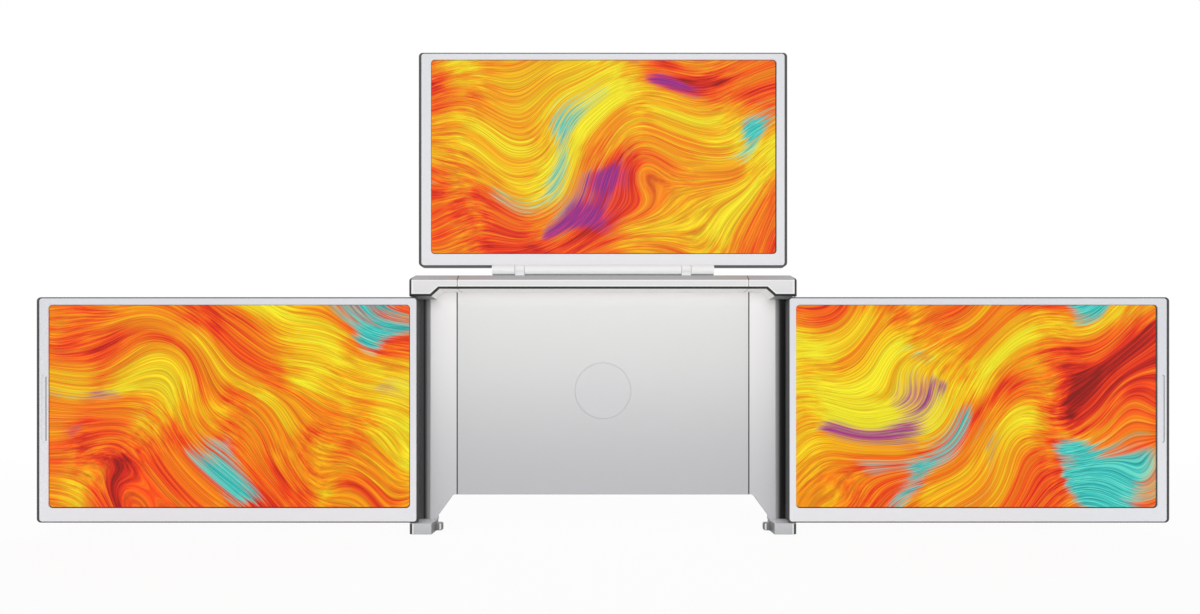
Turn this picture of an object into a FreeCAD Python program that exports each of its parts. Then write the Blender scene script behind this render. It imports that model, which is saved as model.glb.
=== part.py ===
# Laptop screen extender: a bracket for the laptop's lid that carries three monitors.
# Millimetres. The user faces +Y, X runs to the right, Z is up, and the feet end at Z = 0.
# Y = 0 is the middle of the depth at rest, X = 0 the middle of the bracket.
import FreeCAD, Part
import math
import os

V = FreeCAD.Vector
LEFT = -1
RIGHT = 1
SIDE_NAMES = {LEFT: "left", RIGHT: "right"}

# Monitors: a 14 inch 16:9 panel in each
picture_width = 309.4
picture_height = 174.0
screen_depth = 8.0
corner_radius = 3.5
edge_radius = 0.6
back_edge_radius = 1.6
panel_depth = 2.6
panel_border = 1.2
bezel_depth = 1.0
bezel_free = 10.0
bezel_hinge = 6.6
bezel_top = 6.5
bezel_bottom = 12.5
upper_bezel_left = 11.0
upper_bezel_right = 9.6
upper_bezel_top = 6.3
upper_bezel_bottom = 11.1

# Monitor shells: the rim is the part of the wall that shows round the bezel
rim = 1.0
wide_rim = 2.4
bezel_ledge = 0.6
shell_back = 1.2
parting_gap = 0.1
notch_length = 58.0
notch_width = 3.2
notch_depth = 0.5
notch_inset = 4.4
notch_height = 97.5
end_round = 0.49
vent_count = 9
vent_length = 26.0
vent_width = 1.6
vent_pitch = 4.0
vent_rise = 120.0
small_post_inset = 37.1

# Monitor electronics
board_depth = 1.2
board_length = 100.0
board_height = 78.0
board_rise = 18.0
board_lift = 0.75
board_post_radius = 2.5
board_post_inset = 5.0
chip_depth = 1.0
chip_sizes = (12.0, 16.0, 9.0)
chip_start = 14.0
chip_pitch = 26.0
chip_rise = 30.0
socket_long = 9.0
socket_thick = 3.2
socket_deep = 7.4
socket_wall = 0.4
socket_round = 1.4
socket_tongue_inset = 1.28
socket_tongue_sunk = 1.0
socket_sunk = 0.4
socket_rise = 28.0

# Push buttons
button_long = 9.0
button_thick = 2.4
button_proud = 0.6
button_travel = 0.4
button_fit = 0.15
button_flange = 0.6
button_flange_depth = 0.8
power_button_rise = 62.0
menu_button_rise = 80.0
switch_size = 4.0
switch_gap = 0.05

# Bracket: heights from the feet up
foot_height = 10.0
foot_gap = 0.6
lug_gap = 1.1
lug_height = 6.3
bar_height = 12.4
bar_front_height = 7.3
bar_chamfer_depth = 5.0
body_bottom = 31.9
leg_knee_rise = 3.3

# Bracket: depths
lid_space = 8.0
body_depth = 12.5
plate_thick = 2.0
body_wall = 1.6

# Bracket: distances from the middle, and widths further out
body_half = 129.2
bar_seam_step = 4.7
seam_gap = 0.2
wing_face_width = 23.2
crease_to_screen = 5.9
crease_width = 2.9
crease_depth = 1.6
lug_length = 18.9
lug_slope = 7.0
foot_length = 19.5
foot_step = 3.0
leg_width = 6.1
leg_splay = 13.5
leg_round = 2.5
leg_facing = 1.0
corner_chamfer = 3.4

# Badge
badge_radius = 24.9
badge_height = 123.8
badge_thick = 0.6
badge_recess = 0.5

# Sliding wings
wing_travel = 35.0
slide_clearance = 0.25
tongue_thick = 2.0
tongue_grip = 49.2
tongue_margin = 3.6
tongue_inset = 13.0
guide_base = 4.0
guide_lip = 4.0
guide_lip_thick = 2.0
bar_slot_inset = 3.2
bar_slot_floor = 2.2
bar_slot_height = 5.8
bar_groove = 0.5
bar_tongue_grip = 23.5
spring_radius = 2.2
spring_wire = 0.66
spring_height = 150.0
spring_anchor_half = 5.0
spring_tab = 4.0
spring_tab_half = 3.5
spring_pad = 0.9
wing_screw_count = 4
wing_screw_inset = 8.0

# Upright pivots of the side monitors
pivot_inset = 5.2
pivot_radius = 1.25
pivot_cover = 1.25
pivot_clearance = 0.05
bush_wall = 0.7
bush_leaf_thick = 1.5
bush_leaf_length = 26.0
bush_leaf_height = 22.0
bush_sunk = 0.4
bush_foot_gap = 0.1
bush_panel_gap = 0.2
knuckle_wall = 1.2
fold_gap = 0.6
stack_gap = 0.8
pin_seat = 5.0
foot_pin_seat = 7.5

# Level hinge of the upper monitor
upper_fold_gap = 1.7
barrel_radius = 4.8
barrel_gap = 0.4
barrel_to_screen = 6.6
cover_half = 96.0
hinge_centre = 72.0
lug_half = 4.0
lug_radius = 3.6
lug_eye_radius = 4.5
lug_tail = 8.0
lug_root = 3.0
hinge_pin_radius = 1.5
hinge_pin_half = 12.0
leaf_gap = 0.3
leaf_thick = 1.5
leaf_board_gap = 2.0
strap_clearance = 0.2
strap_cover = 0.4
strap_drop = 1.7
cover_flat = 3.8
cover_step = 1.0
cover_tail = 1.5
cover_chin = 0.3

# Feet
pad_thick = 1.5
pad_proud = 0.5
pad_inset = 2.2
tab_length = 5.4
tab_height = 6.9
tab_thick = 4.0
tab_lift = 0.5
tab_round = 1.2

# Centre electronics
main_board_half = 38.0
main_board_height = 90.0
main_board_lift = 2.25
main_board_rise = 3.1
main_board_thick = 1.6
main_post_inset = 6.0
main_post_rise = 24.0
main_chip_depth = 1.4
main_chips = ((0.0, 62.0, 18.0), (-23.0, 36.0, 10.0), (23.0, 41.0, 12.0))
body_socket_x = 18.0
body_vent_count = 12
body_vent_pitch = 9.0
body_vent_width = 3.0
body_vent_rise = 38.1
body_vent_height = 34.0

# Fasteners
fit = 0.03
screw_radius = 1.25
screw_head_radius = 2.5
screw_head_depth = 1.0
screw_length = 6.5
post_radius = 3.0
post_clearance = 0.5
centre_screw_inset = 17.2
small_screw_radius = 0.8
small_head_radius = 1.5
small_head_depth = 0.7
small_screw_length = 4.4
small_post_radius = 1.6
drive_share = 0.5

# Depths worked out from the front of the side monitors to the back of the body
total_depth = screen_depth + lid_space + body_depth
front_y = -total_depth / 2
screen_back_y = front_y + screen_depth
plate_y = screen_back_y + lid_space
back_y = total_depth / 2
plate_back_y = plate_y + plate_thick
body_inner_y = back_y - body_wall
tongue_y = plate_back_y + slide_clearance
tongue_back_y = tongue_y + tongue_thick
upper_front_y = back_y - screen_depth

# Heights worked out from the feet up
screen_bottom = foot_height + foot_gap
screen_height = bezel_bottom + picture_height + bezel_top
screen_top = screen_bottom + screen_height
lug_bottom = screen_top + lug_gap
bar_bottom = lug_bottom + lug_height
bar_top = bar_bottom + bar_height
upper_hinge_z = bar_top + barrel_gap + barrel_radius
upper_bottom = upper_hinge_z + barrel_to_screen
leg_knee = foot_height + leg_knee_rise
tongue_bottom = body_bottom + tongue_inset
tongue_top = bar_bottom - tongue_inset

# Distances from the middle, worked out from the half width of the body
bar_half = body_half - bar_seam_step
wing_start = body_half + seam_gap
wing_face_end = wing_start + wing_face_width
screen_start = wing_face_end + crease_to_screen
pivot_x = screen_start + pivot_inset
bracket_reach = pivot_x + pivot_radius + pivot_cover
lug_start = bracket_reach - lug_length
foot_start = bracket_reach - foot_length
leg_inner = wing_face_end - leg_width
leg_corner = leg_inner - leg_splay
tongue_start = body_half - wing_travel - tongue_grip
bar_tongue_start = bar_half - wing_travel - bar_tongue_grip

# Fold axes: the left monitor folds onto the plate, the right one over it, the upper one last
screen_width = bezel_hinge + picture_width + bezel_free
screen_end = screen_start + screen_width
left_pivot_y = (plate_y - fold_gap + front_y) / 2
left_folded_front = 2 * left_pivot_y - screen_back_y
right_pivot_y = (left_folded_front - stack_gap + front_y) / 2
right_folded_front = 2 * right_pivot_y - screen_back_y
upper_hinge_y = (right_folded_front - upper_fold_gap + upper_front_y) / 2
pivot_y = {LEFT: left_pivot_y, RIGHT: right_pivot_y}
bush_radius = pivot_radius + pivot_clearance + bush_wall
strap_start = math.hypot(lug_radius, upper_hinge_z - bar_top) + strap_clearance


# Shapes

def block(x, y, z):
    """A box between the low and high value of each pair."""
    return Part.makeBox(x[1] - x[0], y[1] - y[0], z[1] - z[0], V(x[0], y[0], z[0]))


def flank(side, near, far):
    """The X pair of a stretch that lies between two distances from the middle."""
    return tuple(sorted((side * near, side * far)))


def grown(pair, amount):
    """A pair with each end moved outwards."""
    return (pair[0] - amount, pair[1] + amount)


def rod(start, run, radius):
    """A round bar from a point along a vector."""
    run = V(*run)
    return Part.makeCylinder(radius, run.Length, V(*start), run)


def prism(points, run):
    """A closed outline of straight edges, pushed along a vector."""
    points = [V(*p) for p in points]
    return Part.Face(Part.makePolygon(points + points[:1])).extrude(V(*run))


def edges_along(shape, axis, wanted):
    """The straight edges along one axis (0, 1 or 2) whose middle is wanted."""
    found = []
    for edge in shape.Edges:
        if edge.Curve.TypeId != "Part::GeomLine":
            continue
        run = edge.Vertexes[-1].Point - edge.Vertexes[0].Point
        across = [abs(run[k]) for k in range(3) if k != axis]
        if max(across) < 1e-6 and wanted(edge.CenterOfMass):
            found.append(edge)
    return found


def slab(x, y, z, radius):
    """A box whose four edges along Y are round."""
    body = block(x, y, z)
    return body.makeFillet(radius, edges_along(body, 1, lambda p: True))


def pill(x, y, z, axis, radius):
    """A box whose four edges along an axis are round, up to a half circle."""
    body = block(x, y, z)
    return body.makeFillet(radius, edges_along(body, axis, lambda p: True))


def screw(x, z, y, radius, head_radius, head_depth, length):
    """A flat-headed screw that goes in from the back at y, towards the front."""
    head = rod((x, y, z), (0, -head_depth, 0), head_radius)
    shank = rod((x, y - head_depth, z), (0, -length, 0), radius)
    width = head_radius * drive_share
    drive = block((x - width, x + width), (y - head_depth / 2, y + 1), (z - width / 4, z + width / 4))
    cross = block((x - width / 4, x + width / 4), (y - head_depth / 2, y + 1), (z - width, z + width))
    return head.fuse(shank).cut(drive.fuse(cross)).removeSplitter()


def screw_hole(x, z, y, radius, head_radius, head_depth, length):
    """The space of such a screw, with its seat for the head."""
    head = rod((x, y + 1, z), (0, -head_depth - 1, 0), head_radius + fit)
    return head.fuse(rod((x, y, z), (0, -length, 0), radius + fit))


def big_screw(x, z):
    return screw(x, z, back_y, screw_radius, screw_head_radius, screw_head_depth, screw_length)


def big_hole(x, z):
    length = screw_head_depth + screw_length
    return screw_hole(x, z, back_y, screw_radius, screw_head_radius, screw_head_depth, length)


def socket_shell(centre, mouth, long_axis):
    """A USB-C socket: a rounded sleeve from its mouth inwards, with the tongue in it.

    centre is the middle of the mouth, mouth the unit vector out of it, and long_axis the
    axis (0 or 2) along which the socket is long; it is thin along Y.
    """
    deep_axis = 2 - long_axis
    outer = {}
    for axis, size in ((long_axis, socket_long), (1, socket_thick)):
        outer[axis] = (centre[axis] - size / 2, centre[axis] + size / 2)
    inner_end = centre[deep_axis] - mouth * socket_deep
    outer[deep_axis] = tuple(sorted((centre[deep_axis], inner_end)))
    hollow = {axis: grown(outer[axis], -socket_wall) for axis in (long_axis, 1)}
    hollow[deep_axis] = tuple(sorted((centre[deep_axis] + mouth, inner_end + mouth)))
    tongue = {axis: grown(outer[axis], -socket_tongue_inset) for axis in (long_axis, 1)}
    tongue[deep_axis] = tuple(sorted((centre[deep_axis] - mouth * socket_tongue_sunk, inner_end)))
    sleeve = pill(outer[0], outer[1], outer[2], deep_axis, socket_round)
    space = pill(hollow[0], hollow[1], hollow[2], deep_axis, socket_round - socket_wall)
    return sleeve.cut(space).fuse(block(tongue[0], tongue[1], tongue[2])).removeSplitter()


# One monitor

class Monitor:
    """Where a monitor's outline lies, how wide its bezel is, and what its edge carries.

    free is the side (LEFT or RIGHT) of the edge with the buttons and the socket, and
    notched tells whether the bezel has a finger notch there.
    """

    def __init__(self, name, x, bottom, front, bezels, rims, free, notched):
        self.name = name
        self.free = free
        self.notched = notched
        left, right, low, top = bezels
        self.x = x
        self.y = (front, front + screen_depth)
        self.z = (bottom, bottom + low + picture_height + top)
        self.rims = {LEFT: rims[0], RIGHT: rims[1]}
        self.picture_x = (x[0] + left, x[1] - right)
        self.picture_z = (bottom + low, self.z[1] - top)
        self.bezel_back = front + bezel_depth
        self.panel_back = self.bezel_back + panel_depth
        self.inner_back = self.y[1] - shell_back
        self.board_back = self.inner_back - board_lift
        self.board_front = self.board_back - board_depth
        self.edge_y = self.board_front - socket_thick / 2
        self.edge = self.x[1] if free == RIGHT else self.x[0]
        self.free_wall = self.rims[free] + bezel_ledge

    def inset(self, amount):
        """The outline drawn in behind its rims by a further amount, as X and Z pairs."""
        x = (self.x[0] + self.rims[LEFT] + amount, self.x[1] - self.rims[RIGHT] - amount)
        return x, grown(self.z, -rim - amount)

    def from_edge(self, near, far):
        """The X pair of a stretch between two distances in from the free edge."""
        return tuple(sorted((self.edge - self.free * near, self.edge - self.free * far)))

    def button_heights(self):
        return {"power": self.z[0] + power_button_rise, "menu": self.z[0] + menu_button_rise}

    def socket_z(self):
        return self.z[0] + socket_rise

    def post_places(self):
        """Where the posts of the bezel stand, clear of the panel and the hinges."""
        low = (self.z[0] + rim + bezel_ledge + self.picture_z[0] - panel_border) / 2
        high = (self.z[1] - rim - bezel_ledge + self.picture_z[1] + panel_border) / 2
        middle = sum(self.picture_x) / 2
        step = picture_width / 2 - small_post_inset
        return [(middle + k * step, z) for z in (low, high) for k in (-1, 0, 1)]

    def board_x(self):
        gap = self.free_wall + button_flange_depth + parting_gap
        return self.from_edge(gap + button_travel, gap + button_travel + board_length)

    def board_z(self):
        return (self.z[0] + board_rise, self.z[0] + board_rise + board_height)

    def board_posts(self):
        x = grown(self.board_x(), -board_post_inset)
        z = grown(self.board_z(), -board_post_inset)
        return [(a, b) for a in x for b in z]

    def small_screw_at(self, x, z):
        sizes = (small_screw_radius, small_head_radius, small_head_depth, small_screw_length)
        return screw(x, z, self.y[1], *sizes)

    def small_hole_at(self, x, z):
        length = small_head_depth + small_screw_length
        sizes = (small_screw_radius, small_head_radius, small_head_depth, length)
        return screw_hole(x, z, self.y[1], *sizes)

    def rear_shell(self):
        """The dark tray that holds everything, with its rim round the bezel."""
        shell = slab(self.x, self.y, self.z, corner_radius)
        back_edges = [e for e in shell.Edges if abs(e.CenterOfMass.y - self.y[1]) < 1e-6]
        shell = shell.makeFillet(back_edge_radius, back_edges)
        front_edges = [e for e in shell.Edges if abs(e.CenterOfMass.y - self.y[0]) < 1e-6]
        shell = shell.makeFillet(edge_radius, front_edges)
        seat_x, seat_z = self.inset(-parting_gap)
        hollow_x, hollow_z = self.inset(bezel_ledge)
        radius = corner_radius - rim + parting_gap
        shell = shell.cut(slab(seat_x, (self.y[0] - 1, self.bezel_back), seat_z, radius))
        shell = shell.cut(block(hollow_x, (self.y[0], self.inner_back), hollow_z))
        posts = [rod((x, self.inner_back, z), (0, -board_lift, 0), board_post_radius)
                 for x, z in self.board_posts()]
        shell = shell.fuse(posts)
        holes = [self.small_hole_at(x, z) for x, z in self.post_places()]
        holes += [self.button_hole(z) for z in self.button_heights().values()]
        holes.append(self.socket_hole())
        holes += self.vents()
        return shell.cut(holes)

    def vents(self):
        middle = sum(self.picture_x) / 2
        low = self.z[0] + vent_rise
        y = (self.inner_back - 1, self.y[1] + 1)
        slots = []
        for k in range(vent_count):
            z = low + k * vent_pitch
            for x in (middle - vent_length, middle + vent_length):
                slots.append(pill(grown((x, x), vent_length / 2), y, (z, z + vent_width), 1,
                                  vent_width * end_round))
        return slots

    def bezel(self):
        """The light frame in front, with its posts and any finger notch in its free side."""
        x, z = self.inset(0)
        frame = slab(x, (self.y[0], self.bezel_back), z, corner_radius - rim)
        window = (self.picture_x, (self.y[0] - 1, self.bezel_back + 1), self.picture_z)
        frame = frame.cut(block(*window))
        if self.notched:
            frame = frame.cut(self.notch())
        run = self.inner_back - self.bezel_back
        posts = [rod((px, self.bezel_back, pz), (0, run, 0), small_post_radius)
                 for px, pz in self.post_places()]
        frame = frame.fuse(posts)
        return frame.cut([self.small_hole_at(px, pz) for px, pz in self.post_places()])

    def notch(self):
        middle = self.z[0] + notch_height
        z = (middle - notch_length / 2, middle + notch_length / 2)
        x = self.from_edge(notch_inset, notch_inset + notch_width)
        y = (self.y[0] - 1, self.y[0] + notch_depth)
        return pill(x, y, z, 1, notch_width * end_round)

    def display_panel(self):
        x = grown(self.picture_x, panel_border)
        return block(x, (self.bezel_back, self.panel_back), grown(self.picture_z, panel_border))

    def driver_board(self):
        """The board with its chips, and the two switches that the buttons press."""
        x, z = self.board_x(), self.board_z()
        board = block(x, (self.board_back - board_depth, self.board_back), z)
        chips = []
        for k, size in enumerate(chip_sizes):
            low_x = x[0] + chip_start + chip_pitch * k
            chips.append(block((low_x, low_x + size),
                               (self.board_front - chip_depth, self.board_front),
                               (z[0] + chip_rise, z[0] + chip_rise + size)))
        reach = self.free_wall + button_flange_depth + parting_gap
        near = reach + button_travel + switch_gap
        for middle in self.button_heights().values():
            height = (middle - switch_size / 2, middle + switch_size / 2)
            depth = (self.edge_y - button_thick / 2, self.board_front)
            chips.append(block(self.from_edge(near, near + switch_size), depth, height))
        return board.fuse(chips).removeSplitter()

    def button_hole(self, z):
        y = grown((self.edge_y, self.edge_y), button_thick / 2 + button_fit)
        x = self.from_edge(-1, self.free_wall + 1)
        return pill(x, y, grown((z, z), button_long / 2 + button_fit), 0, button_thick * end_round)

    def button(self, z):
        """A push button that stands a little proud of the edge, held in by its flange."""
        back = self.free_wall + parting_gap + button_flange_depth
        y = grown((self.edge_y, self.edge_y), button_thick / 2)
        tall = grown((z, z), button_long / 2)
        cap = pill(self.from_edge(-button_proud, back), y, tall, 0, button_thick * end_round)
        flange = block(self.from_edge(back - button_flange_depth, back),
                       grown(y, button_flange), grown(tall, button_flange))
        return cap.fuse(flange).removeSplitter()

    def socket_centre(self):
        return (self.edge - self.free * socket_sunk, self.edge_y, self.socket_z())

    def socket(self):
        return socket_shell(self.socket_centre(), self.free, 2)

    def socket_hole(self):
        x = self.from_edge(-1, self.free_wall + 1)
        y = grown((self.edge_y, self.edge_y), socket_thick / 2 + fit)
        z = grown((self.socket_z(), self.socket_z()), socket_long / 2 + fit)
        return pill(x, y, z, 0, socket_round)

    def screws(self):
        return Part.makeCompound([self.small_screw_at(x, z) for x, z in self.post_places()])

    def parts(self):
        made = {
            "rear_shell": self.rear_shell(),
            "bezel": self.bezel(),
            "display_panel": self.display_panel(),
            "driver_board": self.driver_board(),
            "usb_c_socket": self.socket(),
            "screws": self.screws(),
        }
        for name, z in self.button_heights().items():
            made[name + "_button"] = self.button(z)
        return {self.name + "_" + name: shape for name, shape in made.items()}


# Upright pivots

def bush_pairs(monitor):
    """The Z pairs of the upper and the lower bush: both end short of the panel."""
    high = (monitor.picture_z[1] + panel_border + bush_panel_gap, monitor.z[1] - bush_sunk)
    low = (foot_height + bush_foot_gap, monitor.picture_z[0] - panel_border - bush_panel_gap)
    return high, low


def bush(side, monitor, z, leaf_z, play, bored):
    """A bush on its leaf, which lies against the inside of the shell's back."""
    x, y = side * pivot_x, pivot_y[side]
    leaf_front = monitor.inner_back - bush_leaf_thick
    sleeve = rod((x, y, z[0] - play), (0, 0, z[1] - z[0] + 2 * play), bush_radius + play)
    web_y = (min(y, leaf_front), max(y, monitor.inner_back))
    web_z = (max(z[0], monitor.z[0] + rim + bezel_ledge), min(z[1], monitor.z[1] - rim - bezel_ledge))
    web = block(grown((x, x), bush_radius + play), grown(web_y, play), grown(web_z, play))
    leaf_x = flank(side, pivot_x - bush_radius, pivot_x - bush_radius + bush_leaf_length)
    leaf_pair = grown((leaf_front, monitor.inner_back), play)
    made = sleeve.fuse([web, block(grown(leaf_x, play), leaf_pair, grown(leaf_z, play))])
    if bored:
        hole = rod((x, y, z[0] - 1), (0, 0, z[1] - z[0] + 2), pivot_radius + pivot_clearance)
        made = made.cut(hole)
    return made.removeSplitter()


def hinge_bushes(side, monitor, play=0.0, bored=True):
    high, low = bush_pairs(monitor)
    inner_top = monitor.z[1] - rim - bezel_ledge
    inner_bottom = monitor.z[0] + rim + bezel_ledge
    high_leaf = (inner_top - bush_leaf_height, inner_top)
    low_leaf = (inner_bottom, inner_bottom + bush_leaf_height)
    return [bush(side, monitor, high, high_leaf, play, bored),
            bush(side, monitor, low, low_leaf, play, bored)]


def side_shell(side, monitor):
    """A side monitor's shell with the places for its bushes, and knuckles where they stand out."""
    shell = monitor.rear_shell()
    x, y = side * pivot_x, pivot_y[side]
    high, low = bush_pairs(monitor)
    radius = bush_radius + knuckle_wall
    if y + radius > monitor.y[1]:
        behind = block(grown((x, x), radius), (monitor.inner_back, y + radius), monitor.z)
        for z in ((high[0], monitor.z[1]), (monitor.z[0], low[1])):
            knuckle = rod((x, y, z[0]), (0, 0, z[1] - z[0]), radius)
            shell = shell.fuse(knuckle.common(behind))
    for shape in hinge_bushes(side, monitor, play=fit, bored=False):
        shell = shell.cut(shape)
    for z in ((high[0], monitor.z[1] + 1), (monitor.z[0] - 1, low[1])):
        shell = shell.cut(rod((x, y, z[0]), (0, 0, z[1] - z[0]), bush_radius + fit))
    return shell.removeSplitter()


def side_monitor(side):
    rims = (wide_rim, rim) if side == LEFT else (rim, wide_rim)
    ends = (bezel_free, bezel_hinge) if side == LEFT else (bezel_hinge, bezel_free)
    bezels = (ends[0], ends[1], bezel_bottom, bezel_top)
    name = SIDE_NAMES[side] + "_screen"
    x = flank(side, screen_start, screen_end)
    return Monitor(name, x, screen_bottom, front_y, bezels, rims, side, True)


# Centre of the bracket

def post_rows():
    """Heights of the screws: between the slide guides and the walls."""
    low = body_bottom + body_wall + post_radius + post_clearance
    high = bar_bottom - body_wall - post_radius - post_clearance
    return low, high


def centre_screw_places():
    outer = body_half - centre_screw_inset
    return [(x, z) for x in (-outer, -outer / 2, outer / 2, outer) for z in post_rows()]


def centre_front_plate():
    plate = block((-body_half, body_half), (plate_y, plate_back_y), (body_bottom, bar_bottom))
    plate = plate.cut(rod((0, plate_y - 1, badge_height), (0, badge_recess + 1, 0), badge_radius + fit))
    run = body_inner_y - plate_back_y
    posts = [rod((x, plate_back_y, z), (0, run, 0), post_radius) for x, z in centre_screw_places()]
    plate = plate.fuse(posts)
    return plate.cut([big_hole(x, z) for x, z in centre_screw_places()]).removeSplitter()


def badge_disc():
    return rod((0, plate_y + badge_recess, badge_height), (0, -badge_thick, 0), badge_radius)


def main_board_places():
    z = body_bottom + main_board_rise
    x = main_board_half - main_post_inset
    heights = (z + main_post_rise, z + main_board_height - main_post_inset)
    return [(side * x, height) for side in (LEFT, RIGHT) for height in heights]


def main_board_back():
    return body_inner_y - main_board_lift


def centre_back_shell():
    outer = block((-body_half, body_half), (plate_back_y, back_y), (body_bottom, bar_bottom))
    low_edge = edges_along(outer, 0, lambda p: p.y > body_inner_y and p.z < body_bottom + 1)
    outer = outer.makeFillet(body_wall, low_edge)
    inner = block((-body_half - 1, body_half + 1), (plate_back_y - 1, body_inner_y),
                  (body_bottom + body_wall, bar_bottom - body_wall))
    shell = outer.cut(inner)
    posts = [rod((x, body_inner_y, z), (0, -main_board_lift, 0), board_post_radius)
             for x, z in main_board_places()]
    anchor_y = (body_inner_y - 2 * spring_radius - spring_pad, body_inner_y)
    anchor = block((-spring_anchor_half, spring_anchor_half), anchor_y,
                   grown((spring_height, spring_height), spring_tab_half))
    shell = shell.fuse(posts + [anchor])
    holes = [big_hole(x, z) for x, z in centre_screw_places()]
    holes += [body_socket_hole(x) for x in (-body_socket_x, body_socket_x)]
    low = body_bottom + body_vent_rise
    for k in range(body_vent_count):
        middle = (k - (body_vent_count - 1) / 2) * body_vent_pitch
        holes.append(pill(grown((middle, middle), body_vent_width / 2), (body_inner_y - 1, back_y + 1),
                          (low, low + body_vent_height), 1, body_vent_width * end_round))
    return shell.cut(holes).removeSplitter()


def bar_profile(x, length):
    """The bar's section, chamfered along its upper front edge, pushed along X."""
    points = [
        (x, front_y, bar_bottom),
        (x, front_y, bar_bottom + bar_front_height),
        (x, front_y + bar_chamfer_depth, bar_top),
        (x, back_y, bar_top),
        (x, back_y, bar_bottom),
    ]
    return prism(points, (length, 0, 0))


def bar_slot(x, clearance):
    """The space in the bar for the wings' tongues, less a clearance all round."""
    y = grown((front_y + bar_slot_inset, back_y - bar_slot_inset), -clearance)
    floor = bar_bottom + bar_slot_floor
    return block(x, y, grown((floor, floor + bar_slot_height), -clearance))


def bracket_root(side, play):
    """The foot of a hinge lug, let into the top of the bar."""
    x = grown((side * hinge_centre, side * hinge_centre), lug_half + play)
    y = grown((upper_hinge_y - lug_radius, upper_hinge_y + lug_tail), play)
    return block(x, y, (bar_top - lug_root - play, bar_top))


def top_bar_beam():
    """The bar between the wings, with a relief groove where its underside meets the plate."""
    whole = (-bar_half - 1, bar_half + 1)
    bar = bar_profile(-bar_half, 2 * bar_half)
    groove = block(whole, (plate_y - bar_groove, plate_y), (bar_bottom - 1, bar_bottom + bar_groove))
    bar = bar.cut([bar_slot(whole, 0.0), groove])
    return bar.cut([bracket_root(side, fit) for side in (LEFT, RIGHT)]).removeSplitter()


def slide_guides():
    """Two channels, above and below, that hold the tongues against the plate."""
    half = body_half - 1
    lip_y = tongue_back_y + slide_clearance
    rails = []
    for edge, way in ((tongue_top, 1), (tongue_bottom, -1)):
        start = edge + way * slide_clearance
        base = tuple(sorted((start, start + way * guide_base)))
        lip = tuple(sorted((start + way * guide_base, edge - way * guide_lip)))
        rail = block((-half, half), (plate_back_y, lip_y + guide_lip_thick), base)
        rails.append(rail.fuse(block((-half, half), (lip_y, lip_y + guide_lip_thick), lip))
                     .removeSplitter())
    return Part.makeCompound(rails)


def main_board():
    back = main_board_back()
    front = back - main_board_thick
    low = body_bottom + main_board_rise
    board = block((-main_board_half, main_board_half), (front, back), (low, low + main_board_height))
    chips = [block(grown((x, x), size / 2), (front - main_chip_depth, front),
                   grown((low + rise, low + rise), size / 2))
             for x, rise, size in main_chips]
    return board.fuse(chips).removeSplitter()


def body_socket_y():
    return main_board_back() - main_board_thick - socket_thick / 2


def body_sockets():
    centre_z = body_bottom + socket_sunk
    return Part.makeCompound([socket_shell((x, body_socket_y(), centre_z), -1, 0)
                              for x in (-body_socket_x, body_socket_x)])


def body_socket_hole(x):
    y = grown((body_socket_y(), body_socket_y()), socket_thick / 2 + fit)
    wide = grown((x, x), socket_long / 2 + fit)
    return pill(wide, y, (body_bottom - 1, body_bottom + body_wall + 1), 2, socket_round)


def wing_spring(side):
    """The outer form of a coil spring between the centre's anchor and the tongue's tab."""
    y = body_inner_y - spring_radius - spring_pad / 2
    start = side * spring_anchor_half
    run = side * (tongue_start - spring_anchor_half)
    coil = rod((start, y, spring_height), (run, 0, 0), spring_radius)
    return coil.cut(rod((start, y, spring_height), (run, 0, 0), spring_radius - spring_wire))


def top_hinge_brackets():
    lugs = []
    for side in (LEFT, RIGHT):
        x = grown((side * hinge_centre, side * hinge_centre), lug_half)
        y = grown((upper_hinge_y, upper_hinge_y), lug_radius)
        lug = block(x, y, (bar_top, upper_hinge_z))
        eye = rod((x[0], upper_hinge_y, upper_hinge_z), (x[1] - x[0], 0, 0), lug_eye_radius)
        hole = rod((x[0] - 1, upper_hinge_y, upper_hinge_z), (x[1] - x[0] + 2, 0, 0),
                   hinge_pin_radius + fit)
        lugs.append(lug.fuse([eye, bracket_root(side, 0.0)]).cut(hole).removeSplitter())
    return Part.makeCompound(lugs)


def top_hinge_pins():
    return Part.makeCompound([
        rod((side * hinge_centre - hinge_pin_half, upper_hinge_y, upper_hinge_z),
            (2 * hinge_pin_half, 0, 0), hinge_pin_radius)
        for side in (LEFT, RIGHT)])


# Wings

def wing_outline(side, y, depth):
    """A wing's face: upright, with a leg that slopes out to the foot."""
    points = [
        (side * wing_start, y, bar_bottom),
        (side * wing_face_end, y, bar_bottom),
        (side * wing_face_end, y, foot_height),
        (side * leg_inner, y, foot_height),
        (side * leg_inner, y, leg_knee),
        (side * leg_corner, y, body_bottom),
        (side * wing_start, y, body_bottom),
    ]
    outline = prism(points, (0, depth, 0))
    corners = ((leg_corner, body_bottom), (leg_inner, leg_knee))
    bends = edges_along(outline, 1, lambda p: any(math.hypot(abs(p.x) - x, p.z - z) < 0.1 for x, z in corners))
    return outline.makeFillet(leg_round, bends)


def wing_screw_places(side):
    x = side * (wing_start + wing_face_end) / 2
    low = tongue_bottom + wing_screw_inset
    step = (tongue_top - wing_screw_inset - low) / (wing_screw_count - 1)
    return [(x, low + k * step) for k in range(wing_screw_count)]


def wing_plate(side):
    plate = wing_outline(side, plate_y, tongue_y - plate_y)
    run = body_inner_y - tongue_y
    places = wing_screw_places(side)
    plate = plate.fuse([rod((x, tongue_y, z), (0, run, 0), post_radius) for x, z in places])
    return plate.cut([big_hole(x, z) for x, z in places]).removeSplitter()


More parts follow.
